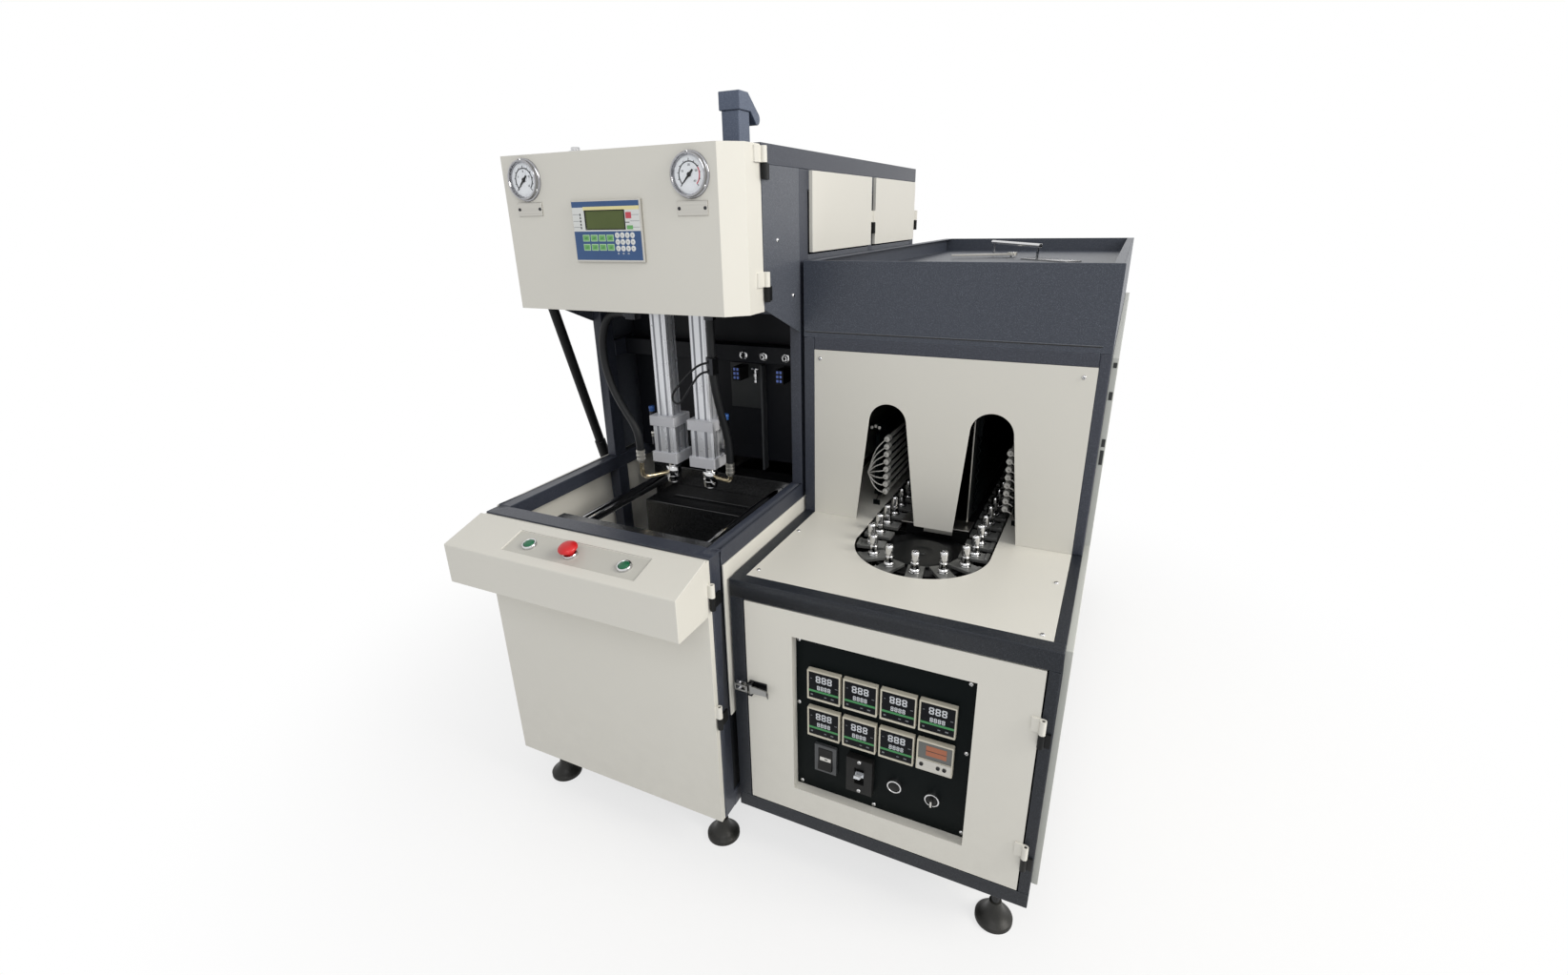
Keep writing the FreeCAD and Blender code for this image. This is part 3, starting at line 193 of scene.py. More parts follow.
def makeHandling():
    # slow tone changes of a sprayed and handled sheet, with more dust low down near the floor
    group, given, result = startGroup("handling", {"patches": 2.6, "dust": 0.5}, ["tone", "dust"])
    place = objectPoint(group)
    group.links.new(addNoise(group, place, given["patches"], detail=4.0), result["tone"])
    height = addNode(group, "SeparateXYZ", {0: place}).outputs["Z"]
    low = spread(group, height, start=0.45, end=0.0)
    spots = combine(group, "MULTIPLY", low, addNoise(group, place, scale=38.0, detail=5.0))
    group.links.new(combine(group, "MULTIPLY", spots, given["dust"]), result["dust"])
    return group


def makeRubbedEdges():
    # corners where hands and tools thin the paint, and edges lightened as a painted highlight
    group, given, result = startGroup("wornAndHighlitEdges", {"radius": 0.002, "amount": 1.0}, ["mask"])
    soft = addNode(group, "Bevel", {"Radius": given["radius"]}, samples=4).outputs[0]
    true = addNode(group, "NewGeometry").outputs["Normal"]
    same = addNode(group, "VectorMath", {0: soft, 1: true}, operation="DOT_PRODUCT").outputs["Value"]
    edge = spread(group, same, start=0.995, end=0.86)
    worn = combine(group, "MULTIPLY", edge, addNoise(group, objectPoint(group), scale=55.0, detail=4.0))
    group.links.new(combine(group, "MULTIPLY", worn, given["amount"], use_clamp=True), result["mask"])
    return group


def makeToolMarks():
    # long scratches of a drawn or turned surface; the stretch is set where the group is placed
    finenesses = {"along": 6.0, "across": 900.0, "upright": 6.0}
    group, given, result = startGroup("toolMarks", finenesses, ["height"])
    axes = {0: given["across"], 1: given["along"], 2: given["upright"]}
    scale = addNode(group, "CombineXYZ", axes).outputs[0]
    drawn = combine(group, "MULTIPLY", objectPoint(group), scale, "VectorMath")
    group.links.new(addNoise(group, drawn, scale=1.0, detail=3.0), result["height"])
    return group


orangePeel = makeOrangePeel()
hammerCells = makeHammerCells()
handling = makeHandling()
wornAndHighlitEdges = makeRubbedEdges()
toolMarks = makeToolMarks()


def startMaterial(name, constants):
    material = bpy.data.materials.new(name)
    material.use_nodes = True
    tree = material.node_tree
    tree.nodes.clear()
    shader = addNode(tree, "BsdfPrincipled", constants)
    addNode(tree, "OutputMaterial", {"Surface": shader.outputs[0]})
    return material, tree, shader.inputs


def placeGroup(tree, group, **values):
    return addNode(tree, "Group", values, node_tree=group).outputs


def mixColours(tree, factor, first, second):
    return addNode(tree, "Mix", {0: factor, 6: first, 7: second}, data_type="RGBA").outputs[2]


def coverSurface(tree, surface, tone, level, roughness):
    tree.links.new(tone, surface["Base Color"])
    tree.links.new(spread(tree, level, *roughness), surface["Roughness"])


def addRelief(tree, surface, height, strength, distance):
    bump = addNode(tree, "Bump", {"Height": height, "Strength": strength, "Distance": distance})
    tree.links.new(bump.outputs[0], surface["Normal"])


# the edge colour and its amount lighten the edges: partly worn paint, partly painted highlight
hammer = {"roughness": (0.34, 0.44), "cells": 360.0, "bump": 0.30, "dust": 0.06, "edgeWearAndHighlight": 0.8}
powder = {"roughness": (0.36, 0.46), "cells": 420.0, "bump": 0.10, "dust": 0.2, "edgeWearAndHighlight": 0.5}
# a paint with flakes is hammered enamel, the others are powder
paints = {
    "creamPowder": {**powder, "colour": (226, 224, 216), "shade": (217, 215, 207), "edge": (238, 236, 230)},
    "blueHammer": {**hammer, "colour": (54, 58, 70), "shade": (45, 49, 59), "edge": (112, 118, 130),
        "flake": (100, 105, 117)},
    # a darker copy of the blue hammer paint for the heater frame below the table: painted shade
    "paintedShadeHammer": {**hammer, "colour": (33, 37, 44), "shade": (27, 30, 36), "edge": (100, 106, 114),
        "flake": (74, 79, 88), "roughness": (0.36, 0.46), "gloss": 0.28, "dust": 0.04},
    "hoodHammer": {**hammer, "colour": (60, 65, 76), "shade": (52, 57, 68), "edge": (116, 122, 132),
        "flake": (110, 116, 128)},
    # a lighter, glossier copy of the blue hammer paint; on the column's outer sides it is painted sheen
    "columnHammer": {**hammer, "colour": (78, 82, 91), "shade": (68, 72, 81), "edge": (130, 136, 144),
        "flake": (140, 145, 154), "roughness": (0.30, 0.40), "bump": 0.35, "dust": 0.04},
    "sidePowder": {**powder, "colour": (204, 206, 200), "shade": (192, 195, 190), "edge": (230, 230, 224)},
    # a darker cream for the control bar's sunk field: painted shade in the recess
    "recessShadePowder": {**powder, "colour": (204, 202, 194), "shade": (188, 187, 180), "edge": (214, 212, 204),
        "roughness": (0.38, 0.5), "dust": 0.4},
    "postBlue": {**hammer, "colour": (86, 97, 118), "shade": (76, 86, 106), "edge": (140, 148, 160),
        "flake": (140, 150, 168), "cells": 420.0, "bump": 0.2, "dust": 0.1, "edgeWearAndHighlight": 0.6},
    "blackHammer": {**hammer, "colour": (24, 25, 27), "shade": (17, 18, 19), "edge": (70, 70, 72),
        "flake": (92, 93, 96), "roughness": (0.16, 0.26), "gloss": 0.8, "cells": 240.0, "bump": 0.55,
        "dust": 0.2, "edgeWearAndHighlight": 0.5},
    "blackSatin": {**powder, "colour": (10, 17, 18), "shade": (7, 13, 14), "edge": (40, 44, 45),
        "roughness": (0.34, 0.44), "gloss": 0.06, "cells": 600.0, "bump": 0.08, "dust": 0.04, "edgeWearAndHighlight": 0.2},
    "bayBlack": {**powder, "colour": (24, 26, 32), "shade": (17, 19, 24), "edge": (60, 63, 70),
        "roughness": (0.4, 0.5), "gloss": 0.2, "bump": 0.12, "dust": 0.1, "edgeWearAndHighlight": 0.4},
    "castBlack": {**powder, "colour": (22, 24, 24), "shade": (14, 15, 16), "edge": (70, 71, 72),
        "roughness": (0.34, 0.5), "gloss": 0.3, "cells": 240.0, "bump": 0.3, "dust": 0.12, "edgeWearAndHighlight": 0.7}}
paintSettings = {"gloss": 0.45, "flakeShare": 0.55, "dust": (150, 146, 136), "depth": 0.0006}


def makePaint(name, paint):
    gloss = paint.get("gloss", paintSettings["gloss"])
    material, tree, surface = startMaterial(name, {"Specular IOR Level": gloss})
    worn = placeGroup(tree, handling, dust=paint["dust"])
    tone = mixColours(tree, worn["tone"], colour(*paint["shade"]), colour(*paint["colour"]))
    texture = placeGroup(tree, hammerCells if "flake" in paint else orangePeel, cells=paint["cells"])
    if "flake" in paint:
        share = spread(tree, texture["flake"], high=paintSettings["flakeShare"])
        tone = mixColours(tree, share, tone, colour(*paint["flake"]))
    # the lighter edge colour goes on at corners: partly worn paint, partly painted highlight
    edges = placeGroup(tree, wornAndHighlitEdges, amount=paint["edgeWearAndHighlight"])
    tone = mixColours(tree, edges["mask"], tone, colour(*paint["edge"]))
    tone = mixColours(tree, worn["dust"], tone, colour(*paintSettings["dust"]))
    coverSurface(tree, surface, tone, worn["tone"], paint["roughness"])
    addRelief(tree, surface, texture["height"], paint["bump"], paintSettings["depth"])
    return material


# light tone, dark tone, roughness, fineness of the marks on three axes, and how metallic it is
metals = {
    # the first row is a darker copy of the anodised finish, put on the tube grooves as painted shade
    "paintedGrooveShade": ((156, 158, 164), (136, 138, 144), (0.3, 0.4), (1400.0, 1400.0, 4.0), 0.5),
    "anodised": ((240, 242, 246), (226, 228, 233), (0.24, 0.32), (1400.0, 1400.0, 4.0), 0.5),
    "blastedGrey": ((222, 223, 228), (208, 209, 214), (0.5, 0.62), (1600.0, 1600.0, 1600.0), 0.1),
    "chrome": ((222, 222, 222), (190, 190, 192), (0.05, 0.14), (300.0, 300.0, 300.0)),
    "rimChrome": ((178, 178, 181), (146, 146, 150), (0.06, 0.13), (300.0, 300.0, 300.0)),
    "drawnSteel": ((170, 170, 168), (126, 126, 125), (0.24, 0.42), (900.0, 8.0, 900.0)),
    "carrierSteel": ((126, 127, 125), (92, 93, 92), (0.34, 0.5), (420.0, 420.0, 60.0), 0.4),
    "darkSteel": ((70, 71, 74), (44, 45, 48), (0.26, 0.44), (500.0, 500.0, 80.0)),
    "brass": ((226, 214, 186), (196, 180, 146), (0.18, 0.34), (300.0, 300.0, 120.0)),
    "plateMetal": ((206, 204, 197), (182, 180, 174), (0.30, 0.42), (8.0, 400.0, 900.0)),
}
metalSettings = {
    "worn": {"patches": 14.0, "dust": 0.2}, "dust": (120, 117, 110), "bump": 0.06, "depth": 0.0004}


def makeMetal(name, light, dark, roughness, fineness, metallic=1.0):
    material, tree, surface = startMaterial(name, {"Metallic": metallic})
    across, along, upright = fineness
    marks = placeGroup(tree, toolMarks, across=across, along=along, upright=upright)["height"]
    worn = placeGroup(tree, handling, **metalSettings["worn"])
    tone = mixColours(tree, marks, colour(*dark), colour(*light))
    tone = mixColours(tree, worn["dust"], tone, colour(*metalSettings["dust"]))
    coverSurface(tree, surface, tone, worn["tone"], roughness)
    addRelief(tree, surface, marks, metalSettings["bump"], metalSettings["depth"])
    return material


# light tone, dark tone, roughness, fineness of the grain, and gloss
plastics = {
    "greenCap": ((14, 112, 72), (9, 88, 56), (0.22, 0.32), 900.0),
    "redCap": ((222, 38, 42), (190, 24, 30), (0.26, 0.36), 900.0),
    "blackPlastic": ((22, 23, 24), (14, 15, 16), (0.34, 0.46), 1100.0, 0.2),
    "greyPlastic": ((74, 77, 80), (58, 60, 63), (0.4, 0.5), 1100.0),
    "displayBlack": ((14, 17, 23), (9, 11, 16), (0.14, 0.2), 300.0, 0.1),
    "bezelCream": ((214, 209, 193), (196, 191, 176), (0.36, 0.46), 1200.0),
    "filmBlue": ((52, 88, 136), (44, 76, 122), (0.34, 0.42), 800.0),
    "filmWhite": ((228, 230, 228), (214, 216, 215), (0.34, 0.42), 800.0),
    "filmYellow": ((236, 226, 170), (226, 216, 160), (0.34, 0.42), 800.0),
    "keyGreen": ((116, 180, 108), (98, 164, 94), (0.3, 0.4), 800.0),
    "keyRed": ((206, 78, 92), (190, 66, 80), (0.3, 0.4), 800.0),
    "stripeGreen": ((62, 148, 84), (50, 130, 72), (0.3, 0.4), 700.0),
    "markGrey": ((128, 133, 138), (100, 104, 110), (0.3, 0.4), 700.0),
    "keyPale": ((184, 216, 178), (166, 202, 160), (0.3, 0.4), 800.0),
    "keyDark": ((52, 120, 62), (44, 104, 54), (0.3, 0.4), 800.0),
    # a bright blue for the small valve lamps, which give no light: painted glow
    "lampBlue": ((140, 168, 246), (96, 128, 232), (0.2, 0.3), 400.0),
    "panelDark": ((44, 47, 48), (36, 39, 40), (0.4, 0.5), 600.0),
    "segmentGrey": ((230, 234, 240), (204, 208, 214), (0.3, 0.4), 700.0),
    "lcdOlive": ((94, 106, 62), (82, 94, 54), (0.12, 0.18), 160.0, 0.2),
    "meterAmber": ((176, 104, 70), (158, 90, 60), (0.14, 0.2), 200.0),
    "meterGrey": ((104, 106, 104), (88, 90, 88), (0.14, 0.2), 200.0),
    "ceramicWhite": ((236, 235, 230), (214, 212, 206), (0.4, 0.55), 500.0),
    "wireWhite": ((234, 233, 228), (210, 208, 203), (0.4, 0.5), 500.0),
    "fittingBlue": ((56, 104, 176), (40, 82, 150), (0.3, 0.4), 500.0),
    "dialWhite": ((226, 227, 230), (214, 215, 220), (0.3, 0.4), 600.0),
    "hoseRubber": ((26, 28, 31), (17, 18, 20), (0.36, 0.5), 1400.0, 0.3),
    "inkBlack": ((22, 22, 24), (14, 14, 16), (0.4, 0.5), 600.0),
}
plasticSettings = {
    "worn": {"patches": 22.0, "dust": 0.25}, "grain": 0.6, "dust": (120, 117, 110), "bump": 0.06,
    "depth": 0.0003}


def makePlastic(name, light, dark, roughness, fineness, gloss=0.5):
    material, tree, surface = startMaterial(name, {"Specular IOR Level": gloss})
    grain = placeGroup(tree, orangePeel, cells=fineness, grain=plasticSettings["grain"])["height"]
    worn = placeGroup(tree, handling, **plasticSettings["worn"])
    tone = mixColours(tree, worn["tone"], colour(*dark), colour(*light))
    tone = mixColours(tree, worn["dust"], tone, colour(*plasticSettings["dust"]))
    coverSurface(tree, surface, tone, grain, roughness)
    addRelief(tree, surface, grain, plasticSettings["bump"], plasticSettings["depth"])
    return material


glasses = {
    "dialGlass": {"clear": (252, 253, 253), "dull": (230, 230, 226), "through": 1.0},
    "lampGlass": {"clear": (226, 224, 218), "dull": (190, 188, 182), "through": 0.35}}
glassSettings = {"bending": 1.04, "worn": {"patches": 30.0, "dust": 0.1}, "roughness": (0.0, 0.015)}


def makeGlass(name, glass):
    constants = {"Transmission Weight": glass["through"], "IOR": glassSettings["bending"], "Metallic": 0.0}
    material, tree, surface = startMaterial(name, constants)
    worn = placeGroup(tree, handling, **glassSettings["worn"])
    tone = mixColours(tree, worn["dust"], colour(*glass["clear"]), colour(*glass["dull"]))
    coverSurface(tree, surface, tone, worn["tone"], glassSettings["roughness"])
    return material


finish = {name: makePaint(name, paint) for name, paint in paints.items()}
finish.update({name: makeMetal(name, *metal) for name, metal in metals.items()})
finish.update({name: makePlastic(name, *plastic) for name, plastic in plastics.items()})
finish.update({name: makeGlass(name, glass) for name, glass in glasses.items()})
print("materials made:", len(finish))


def pickOnly(*things):
    for thing in bpy.context.selected_objects:
        thing.select_set(False)
    for thing in things:
        thing.select_set(True)
    bpy.context.view_layer.objects.active = things[0] if things else None


def editAll():
    bpy.ops.object.mode_set(mode="EDIT")
    bpy.ops.mesh.select_all(action="SELECT")


def leaveEdit():
    bpy.ops.object.mode_set(mode="OBJECT")


def applyModifier(piece, kind, **settings):
    modifier = piece.modifiers.new("shape", kind)
    for key, value in settings.items():
        setattr(modifier, key, value)
    pickOnly(piece)
    bpy.ops.object.modifier_apply(modifier=modifier.name)


def softenEdges(piece, width, steps=2):
    applyModifier(piece, "BEVEL", width=width * mm, segments=steps, limit_method="ANGLE",
        angle_limit=edgeAngle)


def smoothOver(piece):
    pickOnly(piece)
    bpy.ops.object.shade_smooth_by_angle(angle=smoothAngle)
    applyModifier(piece, "WEIGHTED_NORMAL", keep_sharp=True)


def discard(piece):
    bpy.data.objects.remove(piece)


def joinPieces(name, pieces):
    pickOnly(*pieces)
    if len(pieces) > 1:
        bpy.ops.object.join()
    joined = bpy.context.view_layer.objects.active
    joined.name = name
    joined.data.name = name
    return joined


def give(piece, material):
    piece.data.materials.clear()
    piece.data.materials.append(finish[material])
    return piece


def addSlab(name, x, y, z, material, edge=0.6, steps=2, pockets=()):
    pickOnly()
    bpy.ops.mesh.primitive_cube_add(size=1, location=at(sum(x) / 2, sum(y) / 2, sum(z) / 2))
    slab = bpy.context.active_object
    slab.scale = ((x[1] - x[0]) * mm, (y[1] - y[0]) * mm, (z[1] - z[0]) * mm)
    bpy.ops.object.transform_apply(location=True, rotation=True, scale=True)
    slab.name = name
    for pocket in pockets:
        cutter = addSlab("pocket", *pocket, material, 0)
        cutter.data.materials.clear()
        applyModifier(slab, "BOOLEAN", object=cutter, operation="DIFFERENCE", solver="EXACT")
        discard(cutter)
    if edge:
        softenEdges(slab, edge, steps)
        smoothOver(slab)
    return give(slab, material)


def turnTo(axis):
    # the turn that lays an upright piece along another axis
    return Vector(upward).rotation_difference(Vector(axis)).to_matrix().to_4x4()


def addTurned(name, profile, centre, axis, material, steps=32):
    # a profile of (radius, height) pairs is drawn as an edge chain and spun round the axis
    mesh = bpy.data.meshes.new(name)
    points = [(radius * mm, 0, height * mm) for radius, height in profile]
    mesh.from_pydata(points, [(i, i + 1) for i in range(len(points) - 1)], [])
    turned = addObject(name, mesh)
    pickOnly(turned)
    editAll()
    bpy.ops.mesh.spin(steps=steps, angle=math.tau, center=(0, 0, 0), axis=upward)
    bpy.ops.mesh.select_all(action="SELECT")
    bpy.ops.mesh.remove_doubles(threshold=weldGap)
    bpy.ops.mesh.normals_make_consistent(inside=False)
    leaveEdit()
    turned.data.transform(Matrix.Translation(at(*centre)) @ turnTo(axis))
    bpy.ops.object.shade_smooth_by_angle(angle=smoothAngle)
    return give(turned, material)


def copyPiece(piece, matrix):
    twin = addObject(piece.name, piece.data.copy())
    twin.data.transform(matrix)
    return twin


def moved(piece, x, y, z):
    return copyPiece(piece, Matrix.Translation(Vector((x, y, z)) * mm))


curveSettings = {"stepsPerPoint": 10, "order": 3}


def drawCurve(name, route, radius=0.0, rings=4):
    curve = bpy.data.curves.new(name, "CURVE")
    curve.dimensions = "3D"
    curve.bevel_depth = radius * mm
    curve.bevel_resolution = rings
    curve.use_fill_caps = True
    curve.resolution_u = curveSettings["stepsPerPoint"]
    spline = curve.splines.new("NURBS")
    spline.points.add(len(route) - 1)
    for point, place in zip(spline.points, route):
        point.co = at(*place).to_4d()
    spline.order_u = curveSettings["order"]
    spline.use_endpoint_u = True
    drawn = addObject(name, curve)
    bpy.context.view_layer.update()
    mesh = bpy.data.meshes.new_from_object(drawn.evaluated_get(bpy.context.evaluated_depsgraph_get()))
    discard(drawn)
    return mesh


def addWire(name, route, radius, material, rings=2):
    wire = addObject(name, drawCurve(name, route, radius, rings))
    pickOnly(wire)
    bpy.ops.object.shade_smooth()
    return give(wire, material)


def seat(piece, body, slot, *nodes):
    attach(piece, body)
    if nodes:
        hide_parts(*nodes)


def settle(name, pieces, body, node):
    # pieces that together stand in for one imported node
    seat(joinPieces(name, pieces), body, slotOf[node], node)


def dressNode(node, material, edge):
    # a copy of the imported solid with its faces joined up, its edges softened and its flats kept flat
    copy = addObject(node + "_finish", cadNodes[node].data.copy())
    pickOnly(copy)
    bpy.ops.object.mode_set(mode="EDIT")
    bpy.ops.mesh.select_mode(type="EDGE")
    bpy.ops.mesh.select_all(action="SELECT")
    bpy.ops.mesh.remove_doubles(threshold=weldGap)
    bpy.ops.mesh.select_all(action="DESELECT")
    bpy.ops.mesh.select_non_manifold(extend=False, use_wire=False, use_boundary=False, use_multi_face=True,
        use_non_contiguous=False, use_verts=False)
    bpy.ops.mesh.edge_split(type="VERT")
    bpy.ops.mesh.select_all(action="SELECT")
    bpy.ops.mesh.separate(type="LOOSE")
    leaveEdit()
    solids = list(bpy.context.selected_objects)
    for solid in solids:
        pickOnly(solid)
        editAll()
        bpy.ops.mesh.remove_doubles(threshold=weldGap)
        bpy.ops.mesh.dissolve_limited(angle_limit=flatAngle, delimit={"NORMAL"})
        leaveEdit()
        if edge:
            softenEdges(solid, edge)
    dressed = joinPieces(node + "_finish", solids)
    smoothOver(dressed)
    give(dressed, material)
    seat(dressed, bodyOf[node], slotOf[node], node)
    return dressed


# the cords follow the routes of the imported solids
hoses = {
    "leftAirHose": {"node": "air_hose_left", "diameter": 18.0, "route": [(-396, 262, 1168),
        (-426, 262, 1168), (-453, 262, 1146), (-468, 262, 1106), (-471, 262, 1062), (-464, 262, 1018),
        (-447, 261, 976), (-424, 261, 938), (-401, 260, 908), (-388, 260, 876), (-388, 260, 842)]},
    "rightAirHose": {"node": "air_hose_right", "diameter": 18.0, "route": [(-171, 262, 1160),
        (-171, 262, 1116), (-174, 264, 1066), (-175, 272, 1014), (-173, 286, 958), (-168, 301, 900),
        (-166, 308, 860), (-166, 308, 822)]},
    "sensorCable": {"node": "sensor_cable", "diameter": 5.0, "route": [(-168, 246.5, 1070),
        (-192, 246.5, 1070), (-238, 246, 1030), (-279, 246, 986), (-258, 246, 964), (-222, 246, 1012),
        (-192, 246.5, 1051), (-168, 246.5, 1051)]}}


def makeCord(name, settings):
    route = settings["route"]
    tube = addObject(name, drawCurve(name, route, settings["diameter"] / 2, rings=6))
    pickOnly(tube)
    bpy.ops.object.shade_smooth_by_angle(angle=smoothAngle)
    line = drawCurve(name + "Line", route)
    give(tube, "hoseRubber")
    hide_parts(settings["node"])
    if name == "sensorCable":
        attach(tube, "root")
    else:
        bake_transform(tube)


for name, settings in hoses.items():
    makeCord(name, settings)

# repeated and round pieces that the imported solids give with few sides
footSettings = {
    "places": ((-537, 10), (-57, 10), (-537, 1176), (-57, 1176), (61, 165), (559, 59), (61, 1591),
        (559, 1591)),
    "cone": ((0, 0), (36.5, 0), (38, 1.5), (38, 9), (36.5, 11), (30, 14.5), (22, 22), (17, 31), (14, 42),
        (12.6, 51), (11, 52), (0, 52)),
    "thread": (52.0, 148.0), "threadStep": 3.4, "threadRadii": (7.2, 8), "stemTop": ((7, 150), (0, 150)),
    "nut": (92, 104), "nutRadius": 15}


def makeFeet(settings):
    cone = addTurned("footCone", settings["cone"], (0, 0, 0), upward, "castBlack", 40)
    low, high = settings["thread"]
    root, crest = settings["threadRadii"]
    step = settings["threadStep"]
    thread = [(0, low), (root, low)]
    while low < high:
        thread += [(crest, low + step * 0.35), (root, low + step * 0.8)]
        low += step
    stem = addTurned("footStem", [*thread, *settings["stemTop"]], (0, 0, 0), upward, "darkSteel", 20)
    pickOnly()
    bottom, top = settings["nut"]
    size = {"radius": settings["nutRadius"] * mm, "depth": (top - bottom) * mm}
    bpy.ops.mesh.primitive_cylinder_add(vertices=6, location=at(0, 0, (bottom + top) / 2), **size)
    nut = bpy.context.active_object
    bpy.ops.object.transform_apply(location=True, rotation=True, scale=True)
    softenEdges(nut, 1.0)
    smoothOver(nut)
    give(nut, "darkSteel")
    foot = joinPieces("levellingFoot", [cone, stem, nut])
    feet = [moved(foot, x, y, 0) for x, y in settings["places"]]
    discard(foot)
    settle("levellingFeet", feet, "root", "levelling_feet")


chuckSettings = {
    "turnCentre": (309.0, 288.0), "rearTurn": 1192.0, "pitchRadius": 108.0, "teeth": 12, "straight": 16,
    "top": 697.0, "offset": 0.25, "pin": ((0, -13), (1.5, -13), (1.5, 13), (0, 13)), "pinHeight": 4,
    "lip": ((22, 30.5), (-17, 17), (-0.4, 2.6)),
    "profile": ((0, 0), (10.8, 0), (11, 0.6), (11, 2.4), (10.2, 3.2), (10.2, 4.6), (11, 5.4), (10.6, 7.6),
        (8.5, 9.6), (8.5, 22), (7.3, 23.4), (7.3, 27), (8.5, 28.4), (8.5, 41), (7.9, 44.6), (6.9, 46),
        (5.4, 45.4), (5.0, 40), (0, 39))}


def chuckPlaces(settings):
    x, y = settings["turnCentre"]
    radius, half = settings["pitchRadius"], settings["teeth"] // 2
    pitch = (settings["rearTurn"] - y) / settings["straight"]
    step = math.tau / settings["teeth"]
    places = []
    for index in range(half):
        for centreY, start in ((y, math.pi), (settings["rearTurn"], 0.0)):
            angle = start + (index + settings["offset"]) * step
            places.append((x + radius * math.cos(angle), centreY + radius * math.sin(angle), angle))
    for index in range(settings["straight"]):
        run = (index + settings["offset"]) * pitch
        places += [(x + radius, y + run, 0.0), (x - radius, settings["rearTurn"] - run, math.pi)]
    return places


def makeChucks(settings):
    top = settings["top"]
    stem = addTurned("chuckStem", settings["profile"], (0, 0, top), upward, "chrome", 18)
    above = (0, 0, top + settings["pinHeight"])
    pin = addTurned("chuckPin", settings["pin"], above, rightward, "darkSteel", 8)
    width, depth, (low, high) = settings["lip"]
    lip = addSlab("carrierLip", width, depth, (top + low, top + high), "carrierSteel", 1.2, 2)
    chuck = joinPieces("chuck", [stem, pin, lip])
    chucks = []
    for x, y, angle in chuckPlaces(settings):
        turn = Matrix.Rotation(angle, 4, "Z")
        chucks.append(copyPiece(chuck, Matrix.Translation(at(x, y, 0)) @ turn @ toOrigin))
    discard(chuck)
    settle("preformChucks", chucks, "root", "preform_chucks")


# the dome is given in shares of the head's radius and height
headSettings = {
    "dome": ((0, 1), (0.5, 0.98), (0.8, 0.78), (0.96, 0.4), (1, 0)), "slotReach": 0.62, "slotHalf": 0.45,
    "slotDepth": (0.9, 1.02)}


def makeScrewHead(name, radius, height):
    # a domed head with a cross slot, standing up from the origin; the slot is a black cross set into the
    # dome, painted shade in place of a cut
    dome = [(radius * out, height * up) for out, up in headSettings["dome"]]
    pieces = [addTurned(name, dome, (0, 0, 0), upward, "chrome", 20)]
    reach, half = radius * headSettings["slotReach"], headSettings["slotHalf"]
    depth = [height * share for share in headSettings["slotDepth"]]
    for x, y in ((reach, half), (half, reach)):
        pieces.append(addSlab("slot", (-x, x), (-y, y), depth, "inkBlack", 0))
    return joinPieces(name, pieces)


def placed(piece, place, facing=upward, spin=0.0):
    # a copy of a piece that was drawn round the origin, set down at a place and turned to face a way
    turn = turnTo(facing) @ Matrix.Rotation(spin, 4, "Z")
    return copyPiece(piece, Matrix.Translation(at(*place)) @ turn @ toOrigin)


screwSettings = {
    "tableTop": 703, "chamberFront": 372, "headSide": -8,
    "onTable": ((35, 256), (38, 55), (584, 235), (581, 41)), "onChamber": ((39, 1071), (577, 1070)),
    "onHeadSide": ((267, 1320), (337, 1208)), "sockets": (-202, -147, -87), "socketPlace": (460, 1048),
    "socket": ((3.4, 3), (3.4, 8.6), (4.2, 9.2), (6.2, 9), (7, 8), (7, 3), (10, 2.6), (11, 1.6), (11, 0)),
    "bottom": ((0, 3), (3.5, 3)), "strike": ((7, 30), (-2, 0), (444, 467)),
    "strikePins": ((14, -2, 450), (14, -2, 462)), "pin": ((0, 0), (3, 0), (3, 6.4), (2.4, 7), (0, 7)),
    "sleeves": ((-8, 390, 300), (-8, 1216, 146)), "sleeve": ((0, 0), (9, 0), (9, 8), (0, 8)),
    "roof": (-396, 160, 1487),
    "roofCap": ((0, 12), (7.6, 12), (9, 10.8), (9, 6.6), (14.5, 4.6), (16, 3.4), (16, 0))}


def makeScrews(settings):
    head = makeScrewHead("screwHead", radius=4.5, height=2.6)
    pieces = [placed(head, (x, y, settings["tableTop"]), spin=x) for x, y in settings["onTable"]]
    front, side = settings["chamberFront"], settings["headSide"]
    pieces += [placed(head, (x, front, z), frontward, x) for x, z in settings["onChamber"]]
    pieces += [placed(head, (side, y, z), rightward, y) for y, z in settings["onHeadSide"]]
    discard(head)
    for x in settings["sockets"]:
        place = (x, *settings["socketPlace"])
        pieces.append(addTurned("socketBolt", settings["socket"], place, frontward, "chrome", 28))
        # a black disc at the floor of each socket: painted shade in the hole
        pieces.append(addTurned("socketFloorShade", settings["bottom"], place, frontward, "inkBlack", 6))
    pieces.append(addSlab("strikePlate", *settings["strike"], "chrome", 0.5))
    for place in settings["strikePins"]:
        pieces.append(addTurned("strikePin", settings["pin"], place, frontward, "chrome", 18))
    for place in settings["sleeves"]:
        pieces.append(addTurned("cableSleeve", settings["sleeve"], place, rightward, "blackPlastic", 24))
    # the fitting stands on the head's roof, so it swings with the head
    fitting = addTurned("roofFitting", settings["roofCap"], settings["roof"], upward, "chrome", 28)
    seat(fitting, "head", slotOf["machine_screws"])
    settle("machineScrews", pieces, "root", "machine_screws")


